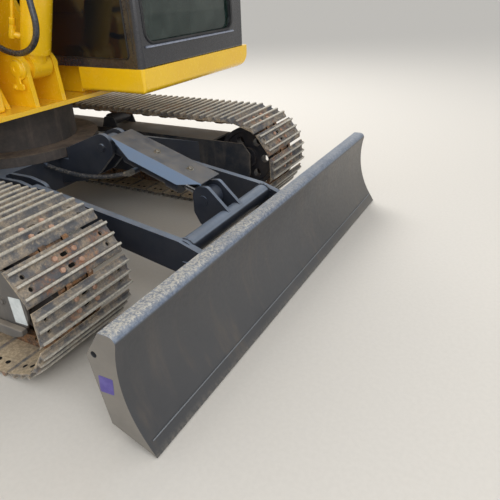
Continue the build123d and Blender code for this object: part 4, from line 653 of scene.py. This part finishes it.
def master_shoe():
    """Mesh of one shoe with its holes cut, and a dark disc of painted shadow at the back of each hole."""
    blank = add_object("shoe_blank", solid_shoe())
    tool = add_object("hole_cutter", hole_cutter())
    cut = blank.modifiers.new("holes", "BOOLEAN")
    cut.object = tool
    cut.operation = "DIFFERENCE"
    cut.solver = "EXACT"
    bpy.context.view_layer.update()
    shoe = bpy.data.meshes.new_from_object(blank.evaluated_get(bpy.context.evaluated_depsgraph_get()))
    for thing in (blank, tool):
        bpy.data.objects.remove(thing)
    backed = bmesh.new()
    backed.from_mesh(shoe)
    reach = MUD_HOLE[0] - MUD_HOLE[1]
    # Painted shadow: a dark disc at the back of each hole.
    for x in (-GROUSER_PITCH / 2, GROUSER_PITCH / 2):
        for y in (-reach, 0, reach, END_HOLE_Y, -END_HOLE_Y):
            spot = Vector((x, y, SHOE_UNDER - 1.5)) * MM
            lathe(backed, spot, (0, 0, 1), [(0, HOLE_SHADOW), (1, HOLE_SHADOW)], 10, SHADOWS)
    backed.to_mesh(shoe)
    backed.free()
    return shoe


def chain_link(bm, start, end, y):
    """The two side links of one pitch and the bushing at its first pin."""
    dx, dz = end[0] - start[0], end[1] - start[1]
    size = math.hypot(dx, dz)
    c, s = dx / size, dz / size
    outline = [(-24, -8), (-14, 22), (20, 30), (60, 30), (80, 22), (size - 20, 26), (size + 14, 20),
               (size + 22, -6), (size + 10, -26), (70, -27), (30, -27), (-10, -27)]
    corners = [(start[0] + a * c - b * s, start[1] + a * s + b * c) for a, b in outline]
    for low in (y - LINK_INNER - LINK_THICK, y + LINK_INNER):
        prism(bm, corners, low, low + LINK_THICK, CHAIN)
    lathe(bm, place(start[0], y - BUSHING[-1][0] / 2, start[1]), (0, 1, 0), BUSHING, 12, CHAIN)


def track(name, side):
    """Piece for one track: shoes with holes, their bolts, and the chain."""
    y = TRACK_Y * side
    bm = bmesh.new()
    shoe = master_shoe()
    tip = bm.verts.layers.float.new("tip")   # 0 at a shoe's face, 1 on a grouser's crest
    for i in range(SHOES):
        a, b = pin_point(i), pin_point(i + 1)
        heading = math.atan2(b[1] - a[1], b[0] - a[0])
        ahead = Vector((math.cos(heading), 0, math.sin(heading)))
        outward = Vector((math.sin(heading), 0, -math.cos(heading)))
        middle = place((a[0] + b[0]) / 2, y, (a[1] + b[1]) / 2)
        sway = rng.uniform(-SWAY, SWAY)
        turn = Matrix((ahead, outward.cross(ahead), outward)).transposed().to_4x4()
        matrix = Matrix.Translation(middle) @ turn @ Matrix.Rotation(sway, 4, "Z")
        first = len(bm.verts)
        bm.from_mesh(shoe)
        bm.verts.ensure_lookup_table()
        for vert in bm.verts[first:]:
            at_lip = vert.co.x / MM < SHOE_LIP + 13
            vert[tip] = 0 if at_lip else (vert.co.z / MM - SHOE_TOP) / (GROUSER_TOP - SHOE_TOP)
            vert.co = matrix @ vert.co
        for across_y in (-BOLT_Y, BOLT_Y):
            for along in (-GROUSER_PITCH / 2, GROUSER_PITCH / 2):
                spot = matrix @ Vector((along * MM, across_y * MM, (SHOE_TOP - 1) * MM))
                bolt(bm, spot, outward, 11, 9 + rng.uniform(-1.5, 1), BOLTS, washer=False)
        chain_link(bm, a, b, y)
    piece = finish_piece("track_shoes_" + name, bm, "undercarriage", TRACK_FINISHES, "track_steel", 42)
    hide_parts("track_" + name)


# Detail pieces. Places are those of the CAD nodes, by a ray onto a node where its surface slopes.
BLADE_HALF = 1131
WELD_LINE = (1789, 48)
WELD_GAP = 20    # from the weld's ends to the blade's
CROSS_TUBE = (1440, 293)
TUBE_WELD = 46
TUBE_WELDS_Y = (-383, 318)
WELD_TURNS = 18
COVER_BOLTS_X = (1036, 1223)
FRAME_FACE = 972
FRAME_BOLTS = ((1005, 255), (800, 215), (400, 215), (0, 215), (-400, 215), (-700, 215))
LABEL_PROUD = 0.8
CAB_RIGHT = 95
CAB_LEFT = 1100
CAB_FRONT = ((920, 925), (1440, 910), (2600, 760))     # (z, x) of its foot, bend and roof
WIPER_PIVOT = (640, 1452)
WIPER_Y = 700
MIRROR_Z = 1940
LAMPS = (715, (230, 960), 2640)
LAMP_WAY = Vector((1, 0, -0.15))
PANEL_FACE = 1060
GRILLE_LOW = (-1150, 900)
GRILLE_HIGH = (-720, 1380)
LOUVRES = 14
TANK_FACE = -1059
TANK_TOP = 1479
TOOL_BOX_FACE = -1029
TOOL_BOX_TOP = 1149
HOOD_REAR = -1222
HOOD_TOP = 1679
CYLINDER_FOOT = (430, 950)
CYLINDER_WAY = (0.3296, 0.9442)
LUG_FACE = -209.5
PIPE_OUT = -88   # the steel pipe's distance from the cylinder's axis
FAR_ABOVE = 6000


def onto(node_name, x, y):
    """Where a CAD node at rest is met from above, and the surface's direction there."""
    found, spot, normal, _ = frame["nodes"][node_name].ray_cast(place(x, y, FAR_ABOVE), Vector((0, 0, -1)))
    if not found:
        raise ValueError("no surface of %s at %s, %s" % (node_name, x, y))
    return spot, normal


def label(name, body, finish, slot_name, outline, face):
    """A blank label on a right-hand face."""
    bm = bmesh.new()
    plate_y(bm, outline, -face - LABEL_PROUD, -face + 1)
    finish_piece(name, bm, body, [finish], slot_name)


def side_bolts(bm, xs, y, zs):
    """Rows of small bolts in a right-hand face."""
    for x in xs:
        for z in zs:
            bolt(bm, place(x, y, z), (0, -1, 0), 9, 7)


def blade_details():
    """The welds and stiffener of the blade and its arms, and the blank sticker on the blade's near end."""
    bm = bmesh.new()
    x, z = WELD_LINE
    end = BLADE_HALF - WELD_GAP
    weld_bead(bm, place(x, -end, z), place(x, end, z), 3.2)
    finish_piece("blade_weld", bm, "blade", [weld_grey], "blade_paint", 60)
    label("blade_sticker_blank", "blade", label_purple, "blade_paint",
          [(1630, 202, 4), (1684, 206, 4), (1690, 268, 4), (1634, 266, 4)], BLADE_HALF)
    bm = bmesh.new()
    x, z = CROSS_TUBE
    turns = [2 * math.pi * k / WELD_TURNS for k in range(WELD_TURNS + 1)]
    for y in TUBE_WELDS_Y:
        ring = [place(x + TUBE_WELD * math.cos(a), y, z + TUBE_WELD * math.sin(a)) for a in turns]
        for start, end in zip(ring, ring[1:]):
            tube(bm, along_line(start, end, 3), 5, 6, lambda i: 0.9 + 0.2 * rng.random())
    finish_piece("arm_welds", bm, "blade", [dark_navy], "undercarriage_paint", 60)
    bm = bmesh.new()
    box_mm(bm, (1535, -434, 150), (1548, -419, 262))
    box_mm(bm, (1440, -426, 238), (1536, -419, 250))
    bevel(finish_piece("arm_stiffener", bm, "blade", [dark_navy], "undercarriage_paint"), 2)


def cover_bolts():
    """Two bolts on the blade cylinder's cover."""
    bm = bmesh.new()
    for x in COVER_BOLTS_X:
        spot, normal = onto("blade_cylinder_cover", x, -6)
        bolt(bm, spot - normal * MM, normal, 12, 12)
    finish_piece("cover_bolts", bm, "blade_barrel", [fitting], "undercarriage_paint", 35)


def frame_details(name, side):
    """Guard, bolts and step on a track frame."""
    face = side * FRAME_FACE
    finish = ("undercarriage", [frame_greys[name]], "undercarriage_paint")

    def outwards(near, far):
        """Two values of y from the distances out of the frame's face, the lower first."""
        return sorted((face + side * near, face + side * far))

    bm = bmesh.new()
    plate_y(bm, [(-790, 120, 10), (1060, 120, 20), (1110, 142, 10), (1110, 166, 6), (-790, 166, 10)],
            *outwards(-1, 30))
    bevel(finish_piece("track_guard_" + name, bm, *finish), 8)
    bm = bmesh.new()
    for x, z in FRAME_BOLTS:
        bolt(bm, place(x, face - side, z), (0, side, 0), 13, 10)
    finish_piece("track_frame_bolts_" + name, bm, *finish, 35)
    bm = bmesh.new()
    low, high = outwards(-1, 70)
    for x in (-180, 120):
        box_mm(bm, (x, low, 300), (x + 14, high, 330))
    low, high = outwards(58, 72)
    box_mm(bm, (-180, low, 296), (134, high, 334))
    bevel(finish_piece("track_step_" + name, bm, *finish), 3)


def along_cylinder(along, out, y):
    """Point beside the boom cylinder: along its line from the foot pin, out towards the front, and y."""
    a, b = CYLINDER_WAY
    return place(CYLINDER_FOOT[0] + along * a + out * b, y, CYLINDER_FOOT[1] + along * b - out * a)


def lug_pin():
    """Pin head with its keeper plate on the near lug of the boom cylinder."""
    bm = bmesh.new()
    x, z = CYLINDER_FOOT
    lathe(bm, place(x, LUG_FACE + 1, z), (0, -1, 0),
          [(0, 52), (9, 52), (12, 49), (12, 42), (16, 40), (22, 38), (24, 34), (24, 12), (21, 10)], 32)
    keeper = [(-44, -96, 8), (30, -96, 8), (30, -70, 8), (12, -64, 6), (12, -34, 6), (-12, -34, 6),
              (-12, -64, 6), (-44, -70, 8)]
    plate_y(bm, [(x + dx, z + dz, radius) for dx, dz, radius in keeper], LUG_FACE - 22, LUG_FACE - 12)
    box_mm(bm, (x - 40, LUG_FACE - 13, z - 92), (x - 18, LUG_FACE + 1, z - 74))
    bolt(bm, place(x - 29, LUG_FACE - 21, z - 83), (0, -1, 0), 9, 8)
    bevel(finish_piece("lug_pin_keeper", bm, "upper", [yellow], "yellow_paint", 35), 1.5)


def cylinder_pipe():
    """Steel pipe along the boom cylinder, with its fittings, two clamps and the port's elbow."""
    bm = bmesh.new()
    y = BOOM_Y - 59
    up = Vector((CYLINDER_WAY[0], 0, CYLINDER_WAY[1]))
    run = ((930, -50), (905, -84), (880, PIPE_OUT), (600, PIPE_OUT), (200, PIPE_OUT), (165, PIPE_OUT))
    tube(bm, [along_cylinder(along, out, y) for along, out in run], 9, 14)
    for along, sides, profile in ((202, 20, [(0, 12), (3, 15), (30, 15), (34, 12)]),
                                  (170, 6, [(0, 13), (0.5, 17), (20, 17)]),
                                  (152, 20, [(0, 15), (26, 19), (42, 17), (46, 10)])):
        lathe(bm, along_cylinder(along, PIPE_OUT, y), -up, profile, sides)
    port = along_cylinder(126, PIPE_OUT, y)
    lathe(bm, port, along_cylinder(126, 0, BOOM_Y) - port, [(0, 15), (60, 18)], 20)
    for along in (420, 800):
        centre = along_cylinder(along, 0, BOOM_Y)
        lathe(bm, centre - up * 12 * MM, up, [(0, 69), (1, 73), (23, 73), (24, 69), (0, 69)], 40, hollow=True)
        out = along_cylinder(along, PIPE_OUT, y) - centre
        lathe(bm, centre + out * 0.6, out, [(0, 11), (36, 11)], 12)
        lathe(bm, along_cylinder(along - 12, PIPE_OUT, y), up, [(0, 12), (2, 14), (22, 14), (24, 12)], 18)
    finish_piece("boom_cylinder_pipe", bm, "boom_barrel", [yellow], "yellow_paint", 40)


def front_x(z):
    """The cab's front face at a height."""
    foot, bend, roof = CAB_FRONT
    low, high = (foot, bend) if z <= bend[0] else (bend, roof)
    return low[1] + (high[1] - low[1]) * (z - low[0]) / (high[0] - low[0])


def cab_windows():
    """Window seals, ledge strip, dark side pane and wiper of the cab."""
    bm = bmesh.new()
    for corners in ([(145, 1030, 60), (965, 1030, 60), (965, 1420, 20), (145, 1420, 20)],
                    [(165, 1480, 8), (1030, 1480, 8), (1030, 2440, 8), (165, 2440, 8)]):
        loop(bm, [place(front_x(z) - 1, y, z) for y, z in rounded(corners)], 8)
    trim("front_window_seals", bm, rubber_trim, 50)
    bm = bmesh.new()
    prism(bm, [(918, 1012), (932, 1013), (932, 1020), (918, 1023)], 139, 968)
    trim("cab_ledge", bm, strip_steel, 30)
    bm = bmesh.new()
    plate_y(bm, [(-395, 968, 30), (846, 968, 16), (832, 1440, 200), (690, 2500, 60), (-395, 2500, 60)],
            CAB_RIGHT - 4, CAB_RIGHT + 0.5)
    trim("cab_side_pane", bm, tinted, 30)
    bm = bmesh.new()
    loop(bm, [place(x, CAB_RIGHT - 1, z) for x, z in rounded(
        [(-397, 966, 30), (848, 966, 16), (834, 1440, 200), (692, 2502, 60), (-397, 2502, 60)])], 4)
    for y in (CAB_RIGHT + 2, CAB_LEFT - 2):
        tube(bm, [place(front_x(z) - 42, y, z) for z in (990, 1200, 1440, 2000, 2440)], 3.5, 8)
    trim("cab_side_seal", bm, rubber_trim, 50)
    bm = bmesh.new()
    y, z = WIPER_PIVOT
    pivot = place(front_x(z) + 8, y, z)
    lathe(bm, place(front_x(z) - 12, y, z), (1, 0, 0.1), [(0, 22), (18, 22), (24, 12), (30, 10)], 18)
    top = place(front_x(2020) + 14, WIPER_Y, 2020)
    tube(bm, [pivot, pivot.lerp(top, 0.5), top], 5, 8)
    tube(bm, [place(front_x(z) + 8, WIPER_Y, z) for z in (1760, 2000, 2280)], 7, 6)
    trim("wiper", bm, plastic)


def cab_fittings():
    """Door handle and seal, grab rail, mirrors and work lamps of the cab."""
    bm = bmesh.new()
    tube(bm, [place(480, CAB_LEFT + out, z) for out, z in ((4, 1330), (34, 1345), (34, 1470), (4, 1485))], 8)
    trim("door_handle", bm, plastic, body="door")
    bm = bmesh.new()
    rail = ((790, -3, 1150), (792, 22, 1156), (790, 30, 1185), (770, 30, 1640), (768, 22, 1668),
            (768, -3, 1674))
    tube(bm, [place(x, CAB_LEFT + out, z) for x, out, z in rail], 12, 14)
    trim("cab_grab_rail", bm, plastic)
    bm = bmesh.new()
    loop(bm, [place(x, CAB_LEFT - 17, z) for x, z in
              rounded([(-217, 1478, 40), (487, 1478, 40), (487, 2412, 40), (-217, 2412, 40)])], 7)
    trim("door_window_seal", bm, rubber_trim, 50, "door")
    bm = bmesh.new()
    panes = bmesh.new()
    x, z = front_x(MIRROR_Z), MIRROR_Z
    for root, tip, right, left in ((1076, 1080, 1008, 1138), (118, 112, 52, 172)):
        tube(bm, [place(x - 6, root, z), place(x + 60, tip, z + 10), place(962, tip, z - 40)], 8, 10)
        box_mm(bm, (950, right, z - 240), (978, left, z + 10))
        box_mm(panes, (945.5, right + 10, z - 230), (951, left - 10, z))
    bevel(trim("cab_mirrors", bm, plastic), 7)
    trim("cab_mirror_glass", panes, mirror_face, 30)
    x, places, z = LAMPS
    for number, y in enumerate(places):
        bm = bmesh.new()
        lathe(bm, place(x, y, z), LAMP_WAY, [(0, 22), (8, 40), (30, 50), (56, 52), (60, 50)])
        tube(bm, [place(x + 5, y, z - 44), place(x + 20, y, z - 20)], 12, 10)
        trim("work_lamp_%d" % number, bm, plastic)
        bm = bmesh.new()
        lathe(bm, place(x, y, z) + LAMP_WAY.normalized() * 58.5 * MM, LAMP_WAY, [(0, 45), (3, 45), (5, 40)])
        finish_piece("work_lamp_lens_%d" % number, bm, "upper", [lamp_lens], "glass", 40)


def grille(name, side):
    """Grille on an engine side panel: a back plate of painted shadow and slanted blades in a frame."""
    bm = bmesh.new()
    (x0, z0), (x1, z1) = GRILLE_LOW, GRILLE_HIGH
    face = side * PANEL_FACE
    near, far = sorted((face - side, face + side * 3))
    # Back plate in painted shadow, seen between the blades.
    box_mm(bm, (x0, near, z0), (x1, far, z1), 1)
    step = (z1 - z0) / LOUVRES
    for i in range(LOUVRES):
        z = z0 + i * step
        corners = [(2, z + 2), (16, z - 2 + step * 0.1), (16, z + step * 0.2), (2, z + step * 0.6)]
        near, far = ([bm.verts.new(place(x, face + side * out, up)) for out, up in corners]
                     for x in (x0 + 8, x1 - 8))
        skin(bm, [far, near])
    near, far = sorted((face - side, face + side * 18))
    for left, right, low, high in ((x0 - 8, x1 + 8, z0 - 8, z0), (x0 - 8, x1 + 8, z1, z1 + 8),
                                   (x0 - 8, x0 + 4, z0, z1), (x1 - 4, x1 + 8, z0, z1)):
        box_mm(bm, (left, near, low), (right, far, high))
    bevel(finish_piece("grille_" + name, bm, "upper", [black, painted_shadow], "black_paint"), 1.2)


def upper_details():
    """Grilles, latches, caps, grip strips, handle and bolts of the upper structure."""
    grille("right", -1)
    grille("left", 1)
    bm = bmesh.new()
    for side in (-1, 1):
        for x in (-1190, -660, -520):
            tube(bm, [place(x, side * (PANEL_FACE + out), z)
                      for out, z in ((-4, 1478), (14, 1478), (14, 1430), (-4, 1430))], 6, 10)
    trim("panel_latches", bm, plastic)
    bm = bmesh.new()
    for y in (-700, 0, 700):
        lathe(bm, place(HOOD_REAR, y, 1590), (-1, 0, 0), [(0, 24), (5, 24), (9, 18)], 20)
    for x in range(-1190, -520, 48):
        box_mm(bm, (x, 640, HOOD_TOP), (x + 16, 900, HOOD_TOP + 4))
    finish_piece("hood_latches", bm, "hood", [black], "black_paint", 40)
    bm = bmesh.new()
    lathe(bm, place(-260, -880, TANK_TOP), (0, 0, 1), [(0, 58), (8, 58), (10, 50), (30, 48), (34, 42)], 32)
    lathe(bm, place(190, -880, TOOL_BOX_TOP), (0, 0, 1), [(0, 30), (12, 30), (16, 24)], 20)
    trim("filler_caps", bm, plastic)
    bm = bmesh.new()
    for x in range(-20, 400, 34):
        for y in (-960, -700, -440):
            box_mm(bm, (x, y, TOOL_BOX_TOP), (x + 12, y + 200, TOOL_BOX_TOP + 4))
    finish_piece("grip_strips", bm, "upper", [black], "black_paint")
    bm = bmesh.new()
    root, bar = TOOL_BOX_FACE + 3, TOOL_BOX_FACE - 25
    tube(bm, [place(300, y, z) for y, z in ((root, 1040), (bar, 1040), (bar, 920), (root, 920))], 8)
    side_bolts(bm, (-20, 400), TOOL_BOX_FACE, (810, 1110))
    trim("tool_box_handle", bm, plastic)
    bm = bmesh.new()
    side_bolts(bm, (-440, -90), TANK_FACE, (810, 1120, 1440))
    finish_piece("tank_bolts", bm, "upper", [yellow], "yellow_paint", 35)


def boom_pipes(name, y):
    """Steel pipe with its clamps along the top of the boom."""
    bm = bmesh.new()
    points = []
    for x in range(330, 2000, 90):
        spot, normal = onto("boom", x, y)
        points.append(spot + normal * 22 * MM)
    tube(bm, points, 9)
    for spot in points[1::4]:
        lathe(bm, spot - Vector((0, 0, 30 * MM)), (0, 0, 1), [(0, 12), (44, 12)], 10)
    finish_piece("boom_pipe_" + name, bm, "boom", [yellow], "yellow_paint", 45)


# Cords: the routes of the CAD tubes, in millimetres from the slew axis
BOOM_HOSE_Y = -262
BOOM_HOSE = ((330, 1080), (400, 1047), (487, 1024), (575, 1032), (645, 1078), (672, 1146), (661, 1232),
             (652, 1322), (666, 1401), (703.6, 1465.9))
BLADE_HOSE = ((420, -158, 454), (478, -152, 440), (560, -143, 427), (645, -133, 420), (730, -123, 424),
              (806, -113, 434), (860, -105, 447), (891, -101, 455))


def nurbs(name, points, radius, material, body, replaced):
    """A hose along its route, as thick as it is, on a body."""
    data = bpy.data.curves.new(name, "CURVE")
    data.dimensions = "3D"
    data.bevel_depth = radius * MM
    data.bevel_resolution = 5
    data.resolution_u = 10
    spline = data.splines.new("NURBS")
    spline.points.add(len(points) - 1)
    for point, spot in zip(spline.points, points):
        point.co = (*spot, 1)
    spline.order_u = 3
    spline.use_endpoint_u = True
    data.materials.append(material)
    hose = add_object(name, data)
    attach(hose, body)
    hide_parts(replaced)
    return hose


def hoses():
    """The boom cylinder's hose and the blade cylinder's hose."""
    points = [place(x, BOOM_HOSE_Y, z) for x, z in BOOM_HOSE]
    hose = nurbs("boom_hose_rubber", points, 14, boom_rubber, "upper", "boom_hose")
    points = [place(*point) for point in BLADE_HOSE]
    hose = nurbs("blade_hose_rubber", points, 11, blade_rubber, "undercarriage", "blade_hose")


# Studio: places in millimetres, sizes of the floor and the lamps in metres, power in watts
FLOOR_HALF = 60
SKY = (236, 240, 246)    # what lights the scene
SKY_STRENGTH = 0.9
WALL = (216, 214, 208)   # what is seen of the surround, mirrored or through glass too
LAMPS_AIM = (700, -200, 500)
STUDIO_LAMPS = (("key", (-1800, 3500, 5200), 3, 280), ("fill", (4200, -3600, 3200), 5, 130))


def floor():
    """Plain pale ground."""
    bm = bmesh.new()
    bmesh.ops.create_grid(bm, x_segments=1, y_segments=1, size=FLOOR_HALF)
    data = to_mesh("floor", bm)
    s = Shader("floor")
    tone = s.mix(s.ramp(s.noise(60, 5), 0.3, 0.7), (211, 205, 195), (214, 208, 198))
    data.materials.append(s.finish(tone, 0.85))
    add_object("floor", data)


def surround():
    """Soft light from all sides, and a plain wall where rays see it."""
    world = bpy.data.worlds.new("surround")
    world.use_nodes = True
    nodes = world.node_tree.nodes
    link = world.node_tree.links.new
    sky = nodes["Background"]
    wall = nodes.new("ShaderNodeBackground")
    for background, colour, strength in ((sky, SKY, SKY_STRENGTH), (wall, WALL, 1)):
        background.inputs["Color"].default_value = rgb(*colour)
        background.inputs["Strength"].default_value = strength
    rays = nodes.new("ShaderNodeLightPath").outputs
    seen = rays["Is Camera Ray"]
    for kind in ("Is Glossy Ray", "Is Transmission Ray"):
        either = nodes.new("ShaderNodeMath")
        either.operation = "MAXIMUM"
        link(seen, either.inputs[0])
        link(rays[kind], either.inputs[1])
        seen = either.outputs[0]
    blend = nodes.new("ShaderNodeMixShader")
    for socket, output in enumerate((seen, sky.outputs[0], wall.outputs[0])):
        link(output, blend.inputs[socket])
    link(blend.outputs[0], nodes["World Output"].inputs["Surface"])
    scene.world = world


def lamps():
    """A key light from behind and a fill light from the front."""
    for name, spot, size, power in STUDIO_LAMPS:
        lamp = bpy.data.lights.new(name, "AREA")
        lamp.size = size
        lamp.energy = power
        holder = add_object(name, lamp)
        holder.location = place(*spot)
        toward = place(*LAMPS_AIM) - holder.location
        holder.rotation_euler = toward.to_track_quat("-Z", "Y").to_euler()


add_camera()
hoses()
dress_cad()
for name, side in (("left", 1), ("right", -1)):
    track(name, side)
blade_details()
cover_bolts()
for name, side in (("right", -1), ("left", 1)):
    frame_details(name, side)
label("frame_label_blank", "undercarriage", label_white, "undercarriage_paint",
      [(1050, 173, 3), (1118, 177, 3), (1112, 292, 3), (1046, 286, 3)], FRAME_FACE)
lug_pin()
cylinder_pipe()
cab_windows()
cab_fittings()
upper_details()
boom_pipes("right", BOOM_Y - 60)
boom_pipes("left", BOOM_Y + 60)
floor()
surround()
lamps()
scene.view_settings.view_transform = "Standard"
